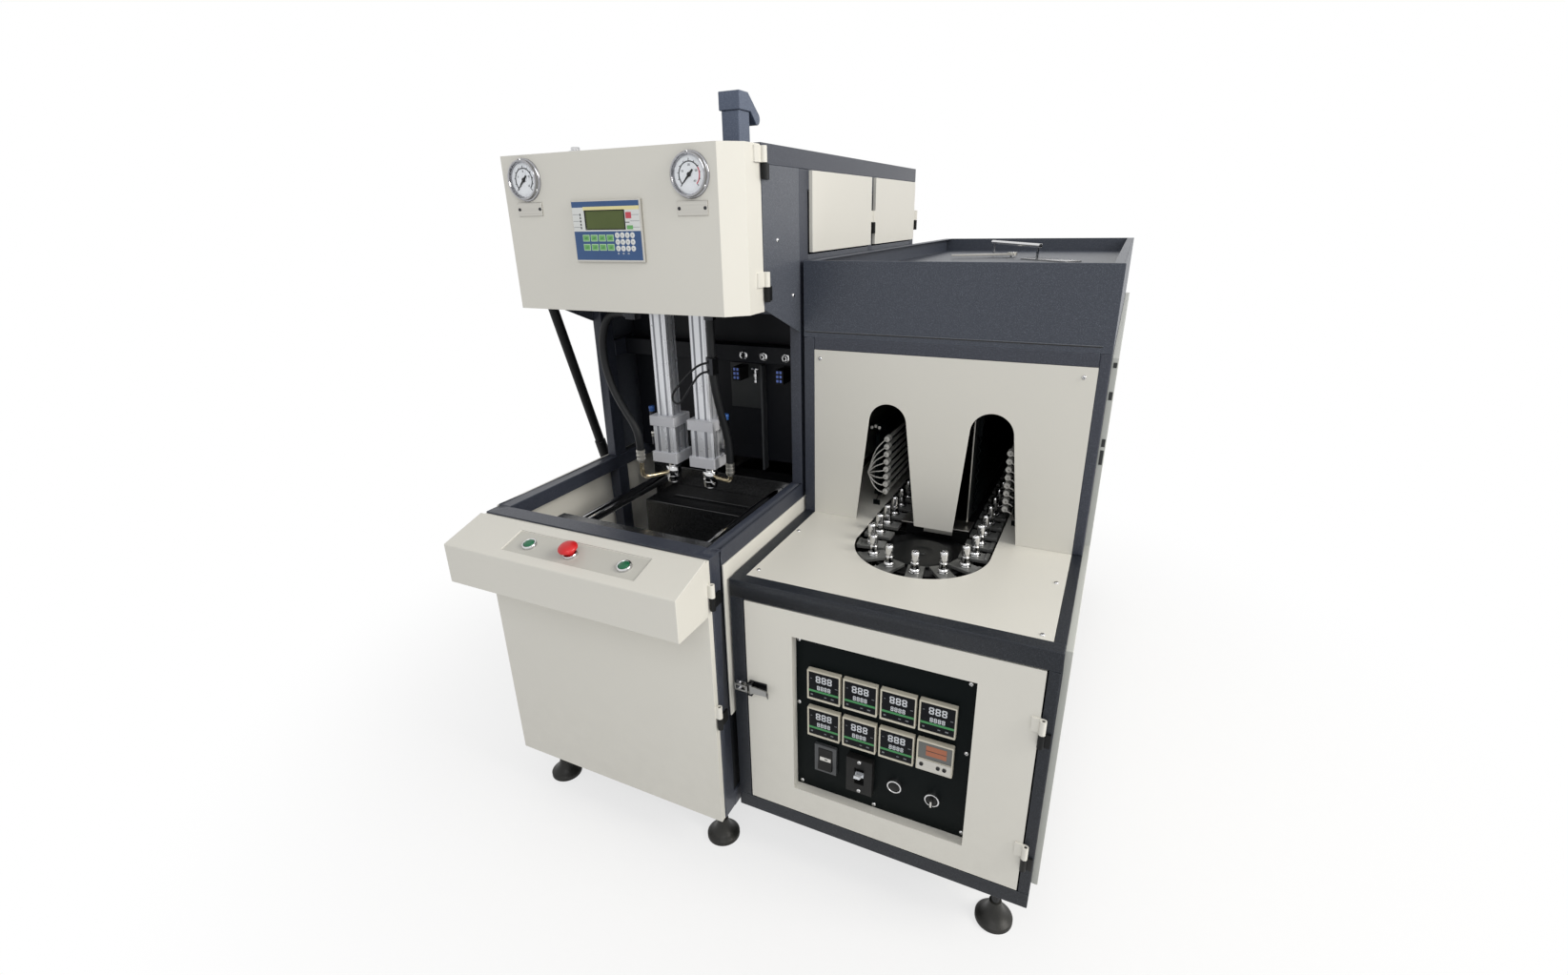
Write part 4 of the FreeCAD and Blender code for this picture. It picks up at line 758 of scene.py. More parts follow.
buttonSettings = {
    "x": (-394.0, -287.5, -156.0), "y": -118.0,
    "cap": ((0, 5), (6.5, 5), (8, 4.7), (8.6, 4.2), (10.4, 4), (11, 3.2), (11, -9), (0, -9)),
    "ring": ((11.4, -3), (11.4, 2.4), (12.2, 3.2), (14.2, 3), (15.3, 1.6), (15.5, 0), (15.5, -3),
        (11.4, -3)),
    "mushroom": ((0, 23.5), (7, 23.2), (12, 22.2), (16.2, 20.2), (19, 17.6), (20, 15.2), (19.4, 13),
        (17, 11.4), (13, 10.2), (9.5, 9.6), (9.5, -9), (0, -9))}


# the control bar falls towards the front, by this much over this depth
barFall, barDepth, barBack, barTop = 30.0, 104.0, -64.0, 770.0
barSlope = barFall / barDepth


def barPoint(x, y):
    return (x, y, barTop + (y - barBack) * barSlope)


def makeButtons(settings):
    length = math.hypot(barDepth, barFall)
    outward = (0, -barFall / length, barDepth / length)
    left, middle, right = places = [barPoint(x, settings["y"]) for x in settings["x"]]
    collars = [addTurned("buttonCollar", settings["ring"], place, outward, "chrome", 40) for place in places]
    settle("buttonCollars", collars, "blow_door", "button_collars")
    for place, node in ((left, "green_button_left"), (right, "green_button_right")):
        cap = addTurned(node + "Cap", settings["cap"], place, outward, "greenCap", 40)
        seat(cap, bodyOf[node], slotOf[node], node)
    stop = addTurned("stopMushroom", settings["mushroom"], middle, outward, "redCap", 48)
    seat(stop, bodyOf["emergency_stop"], slotOf["emergency_stop"], "emergency_stop")


lampSettings = {
    "x": (170.0, 448.0), "front": 460, "firstZ": 744.0, "pitch": 18.7, "count": 8,
    "cap": ((0, 0), (6.2, 0), (7, 1), (7, 7), (6.4, 8), (6.4, 10), (7, 11), (7, 20), (6, 22), (4.6, 26),
        (0, 26)),
    "glass": ((0, 26), (4.5, 26), (4.5, 1099), (3.6, 1100), (0, 1100)), "gather": (129, 449, 792),
    "wire": 1.3, "bead": ((0, 4), (2.6, 3.2), (4, 0), (2.6, -3.2), (0, -4)),
    "beads": ((138, 445, 905), (147, 445, 909), (156, 445, 906))}


def leadRoute(x, z, gather):
    # the left lamps' leads run together, the right lamps' leads turn down beside their caps
    if gather:
        middle = ((x + gather[0]) / 2 - 3, 445, z + (gather[2] - z) * 0.3)
        near = (gather[0] + 5, 446, gather[2] + (z - gather[2]) * 0.12)
        return [(x, 461, z), (x - 3, 449, z), middle, near, gather]
    bends = ((0, 461, 0), (1, 450, 1), (12, 447, 1), (17, 449, -5), (17, 459, -7))
    return [(x + right, y, z + up) for right, y, up in bends]


def makeLamps(settings):
    pieces, leads = [], []
    for x, gather in zip(settings["x"], (settings["gather"], None)):
        for index in range(settings["count"]):
            z = settings["firstZ"] + settings["pitch"] * index
            place = (x, settings["front"], z)
            pieces.append(addTurned("lampCap", settings["cap"], place, backward, "ceramicWhite", 20))
            pieces.append(addTurned("lampTube", settings["glass"], place, backward, "lampGlass", 16))
            leads.append(addWire("lampLead", leadRoute(x, z, gather), settings["wire"], "wireWhite"))
    settle("lampTubes", pieces, "root", "infrared_lamps")
    for place in settings["beads"]:
        leads.append(addTurned("leadBead", settings["bead"], place, upward, "ceramicWhite", 14))
    seat(joinPieces("lampLeads", leads), "root", slotOf["infrared_lamps"])


nozzleSettings = {
    "x": (-348.0, -240.0), "y": 336.0,
    "body": ((6.1, 738), (12, 738), (13.5, 738.8), (18, 743.2), (19, 745), (19, 758), (18.2, 759),
        (18.2, 761), (19, 762), (19, 782), (17.6, 784), (12, 784), (6.1, 784), (6.1, 738)),
    "shaft": ((6.1, 784), (12, 784), (12, 877.4), (11.4, 878), (6.1, 878), (6.1, 784)),
    "crimps": ((-388.0, 260.0, 842.0, 768, 0), (-166.0, 308.0, 822.0, 772, 1)), "pipe": 5.5, "pipeReach": 17,
    "crimp": ((0, -32), (8, -32), (8.6, -31), (8.6, -27), (11, -26), (11, -22), (10, -21), (10, -17),
        (11, -16), (11, -12), (10, -11), (10, -7), (11, -6), (11, -1), (9.4, 0), (0, 0)),
    "rod": ((0, 735.5), (5.4, 735.5), (6, 736.4), (6, 1149.4), (0, 1150))}


def makeNozzles(settings):
    pieces = []
    places = [(x, settings["y"], 0) for x in settings["x"]]
    for place in places:
        pieces.append(addTurned("nozzleBody", settings["body"], place, upward, "chrome", 40))
        pieces.append(addTurned("nozzleShaft", settings["shaft"], place, upward, "chrome", 36))
    for x, y, top, low, index in settings["crimps"]:
        crimp = [(radius, top + height) for radius, height in settings["crimp"]]
        pieces.append(addTurned("hoseCrimp", crimp, (x, y, 0), upward, "plateMetal", 28))
        centreX, centreY = places[index][:2]
        away = Vector((x - centreX, y - centreY, 0)).normalized() * settings["pipeReach"]
        end = (centreX + away.x, centreY + away.y, low)
        bend = (x, y, low + 8), (x + (end[0] - x) * 0.2, y + (end[1] - y) * 0.2, low)
        route = [(x, y, top - 30), (x, y, top - 40), *bend, end]
        pieces.append(addWire("brassPipe", route, settings["pipe"], "brass", 6))
    settle("blowNozzles", pieces, "nozzles", "blow_nozzles")
    rods = [addTurned("stretchRod", settings["rod"], place, upward, "chrome", 24) for place in places]
    settle("stretchRods", rods, "rods", "stretch_rods")


clampSettings = {
    "barX": (-472.0, -122.0), "barZ": (690.0, 510.0), "plate": ((-518.0, -76.0), (900, 940), (490, 712)),
    "bar": ((0, 32), (13.8, 32), (15, 33.2), (15, 950.8), (13.8, 952), (0, 952)),
    "piston": ((0, 640), (35, 640), (35, 900), (0, 900)), "pistonPlace": (-297, 0, 600)}


def makeClampBars(settings):
    places = [(x, 0, z) for x in settings["barX"] for z in settings["barZ"]]
    pieces = [addTurned("tieBar", settings["bar"], place, backward, "chrome", 32) for place in places]
    pieces.append(addSlab("crosshead", *settings["plate"], "blackHammer", 2.5, 3))
    place = settings["pistonPlace"]
    pieces.append(addTurned("pistonRod", settings["piston"], place, backward, "chrome", 40))
    settle("tieBarsAndCrosshead", pieces, "clamp", "tie_bars")


conduitSettings = {
    "top": (-615, 269, 1173), "joint": (-615, 379, 805), "radius": 12, "start": 4, "sleeveShare": 0.16,
    "brackets": (((-633, -586), (250, 288), (1176, 1190)), ((-633, -596), (380, 412), (722, 744)))}


def makeConduit(settings):
    top, joint, start, radius = (settings[key] for key in ("top", "joint", "start", "radius"))
    run = Vector(joint) - Vector(top)
    tube = ((0, start), (radius, start), (radius, run.length), (0, run.length))
    length = run.length * settings["sleeveShare"] - start
    sleeve = ((0, 0), (13.4, 0), (14.5, 1.2), (14.5, length - 1), (13.4, length), (0, length))
    pieces = [
        addTurned("conduitTube", tube, top, run.normalized(), "blackPlastic", 32),
        addTurned("conduitSleeve", sleeve, joint, run.normalized(), "blackPlastic", 32)]
    pieces += [addSlab("conduitBracket", *bracket, "darkSteel", 1.0) for bracket in settings["brackets"]]
    settle("sideConduit", pieces, "root", "side_conduit")


makeFeet(footSettings)
makeChucks(chuckSettings)
makeScrews(screwSettings)
makeButtons(buttonSettings)
makeLamps(lampSettings)
makeNozzles(nozzleSettings)
makeClampBars(clampSettings)
makeConduit(conduitSettings)
print("turned and repeated pieces made")


# the front panel's controllers, switches and screws
instrumentSettings = {
    "x": (198.0, 273.5, 349.0, 424.0), "z": (498.0, 408.0), "half": 34.8, "front": 8.0, "panel": 20.0,
    "large": ((-16.5, -4.5, 7.5), 7.6, (9.6, 15.4), 2.5),
    "small": ((-14.0, -6.5, 1.0, 8.5), -9.5, (5.8, 9.8), 1.6), "stripe": (-31.6, 31.6, -16.0, -11.4),
    "raised": (10.05, 10.5), "stripeRaised": (10.0, 10.5),
    "marks": ((-28, -24.6, 14.4, 15.5), (23.5, 29, 2.4, 3.8), (-27.5, -23, -24.6, -21.6),
        (1.5, 6.5, -24.4, -22.4), (15.5, 21.5, -24.8, -22.2)),
    "meter": (("meterWindow", [(-31.8, 31.8, -8.0, 30.8)], (10.3, 11.4), "meterGrey"),
        ("meterScale", [(-17, 22, 1, 24)], (10.0, 10.5), "meterAmber"),
        ("meterLine", [(-17, 22, 11.6, 12.8)], (9.8, 10.2), "inkBlack"),
        ("meterStrip", [(-32, 32, -33, -8.6)], (7.6, 9), "plateMetal")),
    "knobs": ((-24, 7.7, -20), (8, 7.7, -20), (20, 7.7, -20)),
    "knob": ((0, 1.2), (1.2, 1.2), (1.4, 0.6), (2.6, 0.6), (2.8, 1.6), (3.8, 1.5), (4, 0), (0, 0)),
    "face": ((-31.8, 31.8), (10.3, 11.4), (-30.8, 30.8)), "case": ((-33, 33), (20, 80), (-33, 33)),
    "opening": ((-32, 32), (7, 11), (-31, 31)), "meterOpening": ((-32, 32), (7, 11), (-8, 31))}


def digitBits(x, z, size, stroke):
    # seven bars of one figure
    width, height = size
    side, half = stroke * 0.5, height / 2
    levels = [z + level for level in (0, half - side, height - stroke)]
    bits = [(x + side, x + width - side, level, level + stroke) for level in levels]
    for left in (x, x + width - stroke):
        bits += [(left, left + stroke, z + side, z + half - side),
            (left, left + stroke, z + half + side, z + height - side)]
    return bits


def addBits(name, bits, y, material):
    # thin raised fields on an upright face, given as left, right, low and high
    fields = [addSlab(name, (left, right), y, (low, high), material, 0) for left, right, low, high in bits]
    return joinPieces(name, fields)


def makeInstrument(settings, isMeter):
    half = (-settings["half"], settings["half"])
    opening = settings["meterOpening" if isMeter else "opening"]
    depth = (settings["front"], settings["panel"])
    bezel = addSlab("bezel", half, depth, half, "bezelCream", 1.4, 3, [opening])
    pieces = [bezel, addSlab("instrumentCase", *settings["case"], "blackPlastic", 1.0)]
    if isMeter:
        pieces += [addBits(*row) for row in settings["meter"]]
        pieces += [addTurned("meterKnob", settings["knob"], place, frontward, "inkBlack", 20)
            for place in settings["knobs"]]
        return joinPieces("voltmeter", pieces)
    pieces.append(addSlab("instrumentFace", *settings["face"], "displayBlack", 0))
    for key in ("large", "small"):
        starts, z, size, stroke = settings[key]
        bits = [bit for x in starts for bit in digitBits(x, z, size, stroke)]
        pieces.append(addBits("figures", bits, settings["raised"], "segmentGrey"))
    pieces.append(addBits("stripe", [settings["stripe"]], settings["stripeRaised"], "stripeGreen"))
    pieces.append(addBits("marks", settings["marks"], settings["raised"], "markGrey"))
    return joinPieces("instrument", pieces)


def makeInstruments(settings):
    master = makeInstrument(settings, False)
    places = [(x, z) for z in settings["z"] for x in settings["x"]]
    pieces = [moved(master, x, 0, z) for x, z in places[:-1]]
    discard(master)
    meter = makeInstrument(settings, True)
    pieces.append(moved(meter, places[-1][0], 0, places[-1][1]))
    discard(meter)
    return pieces


switchSettings = {
    "rocker": (201.5, 318.0), "breaker": (277.5, 310.0), "push": (349.0, 307.0), "selector": (424.5, 304.0),
    "rockerFrame": ((-24, 24), (12, 20), (-34, 34)),
    "rockerOpening": ((-15.5, 15.5), (11, 21), (-26.5, 26.5)),
    "rockerBand": ((-12, 12), (11.35, 13), (-4.2, 4.2)), "rockerNotch": ((-1.5, 5), (11.2, 12), (-1.2, 1.2)),
    "pivot": 17.5, "tip": -6, "breakerBody": ((-27.5, 27.5), (4, 20), (-42.5, 42.5)),
    "breakerOpening": ((-10, 10), (3, 16), (-20, 20)), "breakerFront": 4, "breakerScrews": (-36, 36),
    "panel": 20,
    "ring": ((11.4, 0), (11.4, 9.6), (12.1, 10.7), (13.3, 11), (14.5, 10.4), (15, 9), (15, 0), (11.4, 0)),
    "button": ((0, 9.6), (9.4, 9.6), (10.6, 9), (11, 8), (11, -10), (0, -10)),
    "knob": ((0, 10.4), (9.2, 10.4), (10.4, 9.8), (10.8, 8.8), (10.8, -10), (0, -10)),
    "grip": ((-3.2, 3.2), (2, 10.5), (-10, 10)), "tickAndHighlight": ((-1.7, 1.7), (1.7, 2.4), (-9.5, 4))}


def around(place, widths, y, heights):
    # a slab's three extents, given from the centre of a fitting on an upright face
    x, z = place
    return (x + widths[0], x + widths[1]), y, (z + heights[0], z + heights[1])


def makeSwitches(settings):
    pieces = makeInstruments(instrumentSettings)
    rocker, breaker, knobPlace = settings["rocker"], settings["breaker"], settings["selector"]
    opening = around(rocker, *settings["rockerOpening"])
    frame = around(rocker, *settings["rockerFrame"])
    pieces.append(addSlab("rockerFrame", *frame, "greyPlastic", 0.8, 2, [opening]))
    opening = around(breaker, *settings["breakerOpening"])
    body = around(breaker, *settings["breakerBody"])
    pieces.append(addSlab("breakerBody", *body, "blackPlastic", 0.9, 2, [opening]))
    screw = makeScrewHead("breakerScrew", radius=4.2, height=1.8)
    x, z = breaker
    for rise in settings["breakerScrews"]:
        pieces.append(placed(screw, (x, settings["breakerFront"], z + rise), frontward, rise))
    discard(screw)
    push, selector = ((x, settings["panel"], z) for x, z in (settings["push"], knobPlace))
    for place in (push, selector):
        pieces.append(addTurned("switchRing", settings["ring"], place, frontward, "chrome", 44))
    settle("panelInstruments", pieces, "oven_door", "panel_instruments")
    button = addTurned("panelButton", settings["button"], push, frontward, "blackPlastic", 40)
    seat(button, "push_button", slotOf["panel_push_button"], "panel_push_button")
    knob = [
        addTurned("selectorKnob", settings["knob"], selector, frontward, "blackPlastic", 40),
        addSlab("selectorGrip", *around(knobPlace, *settings["grip"]), "blackPlastic", 1.4, 3),
        # the white line on the grip is the knob's pointer mark, drawn long as a painted highlight of the
        # grip too
        addSlab("selectorTickAndHighlight", *around(knobPlace, *settings["tickAndHighlight"]), "wireWhite", 0.2)]
    settle("selectorKnob", knob, "selector", "selector_knob")
    tipped = [
        addSlab("rockerBand", *around(rocker, *settings["rockerBand"]), "wireWhite", 0.3),
        addSlab("rockerNotch", *around(rocker, *settings["rockerNotch"]), "inkBlack", 0)]
    tipped = joinPieces("rockerBand", tipped)
    pivot = Matrix.Translation(at(rocker[0], settings["pivot"], rocker[1]))
    tipped.data.transform(pivot @ Matrix.Rotation(math.radians(settings["tip"]), 4, "X") @ pivot.inverted())
    seat(tipped, "rocker", slotOf["rocker_switch"])


hardwareSettings = {
    "screws": ((142, 590), (141, 440), (146, 237), (306, 236), (484, 240), (480, 432), (477, 586)),
    "panel": 20.0,
    "latch": (("latchBase", (38, 78), (-2, 0), (446, 476), "darkSteel", 0.8),
        ("latchEar", (39, 49), (-14, -1.5), (446, 449), "darkSteel", 0.9, 3),
        ("latchEar", (39, 49), (-14, -1.5), (473, 476), "darkSteel", 0.9, 3)),
    "pin": ((0, 0), (2.5, 0), (2.5, 30), (0, 30)), "pinFoot": (44, -9, 446),
    "bail": (("bailBar", (10, 39), (-15.5, -13), (453, 457), "drawnSteel", 1.0, 3),
        ("bailBar", (10, 39), (-15.5, -13), (465, 469), "drawnSteel", 1.0, 3),
        ("bailEnd", (8, 12), (-15.5, -13), (453, 469), "drawnSteel", 1.0, 3),
        ("bailRoot", (34, 39), (-15.5, 0), (453, 469), "drawnSteel", 0.8))}


def makeHardware(settings):
    head = makeScrewHead("panelScrew", radius=4.6, height=2.8)
    pieces = [placed(head, (x, settings["panel"], z), frontward, x + z) for x, z in settings["screws"]]
    discard(head)
    pieces += [addSlab(*row) for row in settings["latch"]]
    pieces.append(addTurned("latchPin", settings["pin"], settings["pinFoot"], upward, "chrome", 20))
    pieces += [addSlab(*row) for row in settings["bail"]]
    settle("panelHardware", pieces, "oven_door", "panel_hardware")


# the keypad controller and the two gauges on the head
film, onFilm, keyHeight, sign = (103.72, 104.3), (103.55, 104.1), (103.2, 104.1), (102.95, 103.3)
controllerSettings = {
    "front": ((-376.0, -210.0), (104.0, 110.0), (1287.0, 1400.0)),
    "case": ((-365, -221), (110, 155), (1298, 1389)), "window": ((-343, -250), (103, 105.6), (1347, 1381)),
    "prints": (
        ("blueField", ((-374, -214, 1290.5, 1343.5), (-374, -214, 1387, 1397.5)), film, "filmBlue"),
        ("whiteField", ((-374, -343.5, 1343.5, 1387), (-249.5, -214, 1343.5, 1387),
            (-343.5, -249.5, 1343.5, 1346.5)), film, "filmWhite"),
        ("yellowStrip", [(-347, -214, 1381.5, 1388)], (103.66, 104.2), "filmYellow"),
        ("thinRules", [(-373, -354, z, z + 0.6) for z in (1374, 1362, 1351)]
            + [(-236, -215, z, z + 0.6) for z in (1372, 1361, 1350)], onFilm, "markGrey"),
        ("smallMarks", [(-356.5, -353.5, z, z + 4) for z in (1372, 1366, 1360, 1354, 1348)]
            + [(-250, -238, 1358.4, 1359.8)], onFilm, "greyPlastic"),
        ("screenFrame", ((-345, -342.6, 1346, 1382), (-250.4, -248, 1346, 1382),
            (-343, -250, 1380.6, 1382), (-343, -250, 1346, 1347.4)), (103.6, 104.3), "blackPlastic"),
        ("screen", [(-342.8, -250.2, 1347.2, 1380.8)], (104.9, 105.5), "lcdOlive")),
    "keys": (
        ("redKey", (-246, -233), keyHeight, (1366, 1377), "keyRed", 0.35),
        ("startKey", (-245, -231), keyHeight, (1346.5, 1353.5), "keyGreen", 0.35)),
    "keyRows": (1325.0, 1308.0), "keyColumns": (-354.0, -334.5, -315.0, -295.5), "keySize": (16.6, 12.4),
    "keyField": ((1.6, 15.0, 1.6, 10.8),), "keyFieldHeight": (103.05, 103.5),
    "keySign": ((5, 11.6, 4.6, 5.6), (7, 12.6, 6.6, 7.6)), "dotRows": (1336.0, 1324.0, 1312.0),
    "dotColumns": (-270.0, -258.0, -246.0, -234.0), "dotFront": 104,
    "dot": ((0, 0.9), (4.6, 0.9), (5.3, 0.6), (5.5, 0), (0, 0)), "dotSign": ((-0.8, 1.6, -0.7, 0.5),),
    "lowRows": (1301.5, 1303.5), "lowMark": ((-2.6, 1.4, 0, 0.7),)}


def shifted(bits, x, z):
    return [(x + left, x + right, z + low, z + high) for left, right, low, high in bits]


def makeController(settings):
    pieces = [
        addSlab("controllerFront", *settings["front"], "plateMetal", 1.2, 3, [settings["window"]]),
        addSlab("controllerCase", *settings["case"], "blackPlastic", 1.0)]
    pieces += [addBits(*row) for row in settings["prints"]]
    pieces += [addSlab(*row) for row in settings["keys"]]
    wide, tall = settings["keySize"]
    for z in settings["keyRows"]:
        for x in settings["keyColumns"]:
            field, marks = shifted(settings["keyField"], x, z), shifted(settings["keySign"], x, z)
            pieces += [
                addSlab("greenKey", (x, x + wide), keyHeight, (z, z + tall), "keyPale", 0.4),
                addBits("keyField", field, settings["keyFieldHeight"], "keyGreen"),
                addBits("keySign", marks, sign, "keyDark")]
    for z in settings["dotRows"]:
        for x in settings["dotColumns"]:
            place = (x, settings["dotFront"], z)
            pieces.append(addTurned("roundKey", settings["dot"], place, frontward, "filmWhite", 20))
            pieces.append(addBits("roundSign", shifted(settings["dotSign"], x, z), sign, "greyPlastic"))
    marks = []
    for x in settings["dotColumns"][:3]:
        for z in settings["lowRows"]:
            marks += shifted(settings["lowMark"], x, z)
    pieces.append(addBits("lowMarks", marks, onFilm, "filmWhite"))
    settle("keypadController", pieces, "head", "controller")


gaugeSettings = {
    "centres": {"left": (-489.0, 1441.0), "right": (-100.0, 1436.0)}, "front": 110.0, "reach": 135,
    "dial": ((0, 4.2), (31.4, 4.2), (31.4, 3.6), (0, 3.6)),
    "glass": ((0, 9.0), (32.4, 9.0), (32.4, 8.4), (0, 8.4)),
    "rim": ((31.5, 5), (32.6, 9.5), (33.6, 11.4), (35.2, 12), (36.6, 11.2), (37.2, 9), (37.4, 4.5),
        (39.2, 3.4), (40, 2.2), (40, 0), (32, 0), (32, -40), (0, -40), (0, 4.0), (31.5, 4.0), (31.5, 5)),
    "band": (20.6, 22.4, 2.6), "bandStep": 6, "redFrom": 55, "shortTick": (22.4, 24.8, 0.9),
    "longTick": (22.4, 26.5, 0.9), "ticks": 10, "markDepth": (105.1, 105.8), "figureRadius": 15.6,
    "figureSize": 5.4, "figureFront": 105.5, "figureDepth": 0.15, "figureRounding": 3,
    "figures": {"left": (0, 4, 8, 12, 16), "right": (0, 10, 20, 30, 40)}, "lugs": (90, 212, 328),
    "lugRadius": 36.6, "lugY": 104, "topLugY": 100.5}


def dialMark(centre, angle, size, material):
    # a short bar of the scale; the angle is clockwise from straight up, as the dial is seen
    x, z = centre
    inner, outer, width = size
    wide, high = (x - width / 2, x + width / 2), (z + inner, z + outer)
    bar = addSlab("dialMark", wide, gaugeSettings["markDepth"], high, material, 0)
    pivot = Matrix.Translation(at(x, 0, z))
    bar.data.transform(pivot @ Matrix.Rotation(math.radians(angle), 4, "Y") @ pivot.inverted())
    return bar


def addFigure(text, x, z, size, material):
    pickOnly()
    bpy.ops.object.text_add(location=(0, 0, 0))
    figure = bpy.context.active_object
    figure.data.body = text
    figure.data.size = size * mm
    figure.data.align_x = "CENTER"
    figure.data.align_y = "CENTER"
    figure.data.extrude = gaugeSettings["figureDepth"] * mm
    figure.data.resolution_u = gaugeSettings["figureRounding"]
    bpy.ops.object.convert(target="MESH")
    figure = bpy.context.active_object
    place = Matrix.Translation(at(x, gaugeSettings["figureFront"], z))
    figure.data.transform(place @ Matrix.Rotation(math.radians(90), 4, "X"))
    return give(figure, material)


def makeGauge(side, settings):
    x, z = centre = settings["centres"][side]
    front = (x, settings["front"], z)
    reach = settings["reach"]
    pieces = [
        addTurned("gaugeRim", settings["rim"], front, frontward, "rimChrome", 72),
        addTurned("gaugeDial", settings["dial"], front, frontward, "dialWhite", 48)]
    for angle in range(-reach, reach, settings["bandStep"]):
        material = "keyRed" if side == "right" and angle > settings["redFrom"] else "greyPlastic"
        pieces.append(dialMark(centre, angle + settings["bandStep"] / 2, settings["band"], material))
    for step in range(settings["ticks"] + 1):
        size = settings["longTick" if step % 5 == 0 else "shortTick"]
        pieces.append(dialMark(centre, -reach + step * reach / 5, size, "inkBlack"))
    for index, figure in enumerate(settings["figures"][side]):
        angle = math.radians(-reach + index * reach / 2)
        right, up = (settings["figureRadius"] * part for part in (math.sin(angle), math.cos(angle)))
        pieces.append(addFigure(str(figure), x + right, z + up, settings["figureSize"], "greyPlastic"))
    lug = makeScrewHead("rimScrew", radius=3.0, height=2.2)
    for angle in settings["lugs"]:
        turn = math.radians(angle)
        y = settings["topLugY" if angle == 90 else "lugY"]
        out = settings["lugRadius"]
        pieces.append(placed(lug, (x + out * math.cos(turn), y, z + out * math.sin(turn)), frontward, angle))
    discard(lug)
    pieces.append(addTurned("gaugeGlass", settings["glass"], front, frontward, "dialGlass", 48))
    return pieces


plateSettings = {
    "plates": ((-518, -454, 1374, 1399), (-132, -67, 1368, 1393)), "y": (107.4, 110.0), "screwInset": 5}


def makeGauges(settings):
    pieces = makeGauge("left", settings) + makeGauge("right", settings)
    settle("pressureGauges", pieces, "head", "pressure_gauges")
    plates = []
    screw = makeScrewHead("plateScrew", radius=3.2, height=1.8)
    give(screw, "darkSteel")
    front, back = plateSettings["y"]
    for left, right, low, high in plateSettings["plates"]:
        plates.append(addSlab("blankPlate", (left, right), (front, back), (low, high), "plateMetal", 0.8, 3))
        for x in (left + plateSettings["screwInset"], right - plateSettings["screwInset"]):
            plates.append(placed(screw, (x, front, (low + high) / 2), frontward, x))
    discard(screw)
    seat(joinPieces("blankPlates", plates), "head", "bright_steel")


# small fittings at the back of the open bay
baySettings = {
    "displays": (-221.0, -102.5), "valve": ((-11, 11), (452, 500), (984, 1018)), "lampColumns": (-4.4, 4.4),
    "lampRows": 3, "lampFirst": 989, "lampPitch": 10.6, "lamp": ((-2.8, 2.8), (451.2, 453), (0, 6.4)),
    "tee": (-167.5, 455.0, 984), "handlePlace": (-168.5, 455.0, 1017),
    "spindle": ((0, 0), (4.6, 0), (4.6, 6), (3.4, 7), (3.4, 13), (5.4, 14), (5.4, 22), (3.6, 23), (3.6, 31),
        (0, 31)),
    "handle": ((0, -9), (3, -9), (3.6, -7), (3.6, 7), (3, 9), (0, 9)),
    "sheets": (("backPlate", (-262, -168), (496.6, 499.8), (906, 1021), "panelDark", 1.0),
        ("backFlange", (-168, -162), (478, 503), (747, 1021), "greyPlastic", 1.0)),
    "cap": ((0, 0), (6.9, 0), (6.9, 5), (7.6, 6), (7.6, 11), (6.6, 12.4), (3, 12.4), (3, 9), (0, 9)),
    "pushCaps": (((-400, 336, 919), "fittingBlue"), ((-399, 336, 854), "plateMetal"),
        ((-188, 336, 919), "fittingBlue"), ((-189, 336, 854), "plateMetal"))}


def makeBay(settings):
    pieces = []
    for x in settings["displays"]:
        pieces.append(addSlab("valveHead", *around((x, 0), *settings["valve"]), "blackPlastic", 1.0))
        for column in settings["lampColumns"]:
            for row in range(settings["lampRows"]):
                place = (x + column, settings["lampFirst"] + row * settings["lampPitch"])
                # the little lamps take a bright blue as painted glow
                pieces.append(addSlab("valveLamp", *around(place, *settings["lamp"]), "lampBlue", 0.3))
    pieces += [
        addTurned("teeSpindle", settings["spindle"], settings["tee"], upward, "chrome", 24),
        addTurned("teeHandle", settings["handle"], settings["handlePlace"], rightward, "chrome", 20)]
    pieces += [addSlab(*row) for row in settings["sheets"]]
    for place, material in settings["pushCaps"]:
        pieces.append(addTurned("pushCap", settings["cap"], place, upward, material, 24))
    seat(joinPieces("bayFittings", pieces), "root", "dark_frame")


# plain sheets seen through the arched slots, dark slots along the front edge of the raised right panel,
# drawn as dark slabs whose dark is painted shade, the folded lip over the seam between hood and chamber
# front, and near-black sheets that close the cabinets low down, their black painted shade
sheetSettings = {
    "slotGuards": ("machined_steel", (
        ("innerGuard", (372, 374), (434, 1050), (712, 948), "panelDark", 0.5),
        ("guardEdge", (371.4, 374.6), (431, 434), (712, 948), "plateMetal", 0.6),
        ("bridgePlate", (232, 386), (396, 452), (703, 706), "plateMetal", 0.8),
        ("tongueStrip", (289, 353), (375.2, 379), (698, 707), "plateMetal", 0.6))),
    "edgeSlots": ("black_panel", [
        # the slots are dark slabs on the panel's face: their dark is painted shade
        ("edgeSlot", (623.5, 630.0), (401.2, 403.0), height, "panelDark", 0.3)
        for height in ((1086, 1096), (1024, 1040), (930, 946), (893, 923))]),
    "hoodSeam": ("dark_frame", (
        ("seamLip", (4, 602), (370.7, 372.3), (1129.2, 1131.0), "columnHammer", 0.4),
        ("seamGroove", (4, 602), (371.5, 372.3), (1127.0, 1129.2), "inkBlack", 0.0))),
    "closingShadeSheets": ("dark_frame", (
        # near-black sheets low down: their black is painted shade in the cabinets and in the gap between the
        # units
        ("closingShadeSheet", (-14, -11), (-8, 1194), (170, 738), "bayBlack", 0.5),
        ("closingShadeSheet", (26, 599), (32, 1618), (146, 149), "bayBlack", 0.5))),
}


def makeSheets(settings):
    for name, (slot, sheets) in settings.items():
        seat(joinPieces(name, [addSlab(*sheet) for sheet in sheets]), "root", slot)


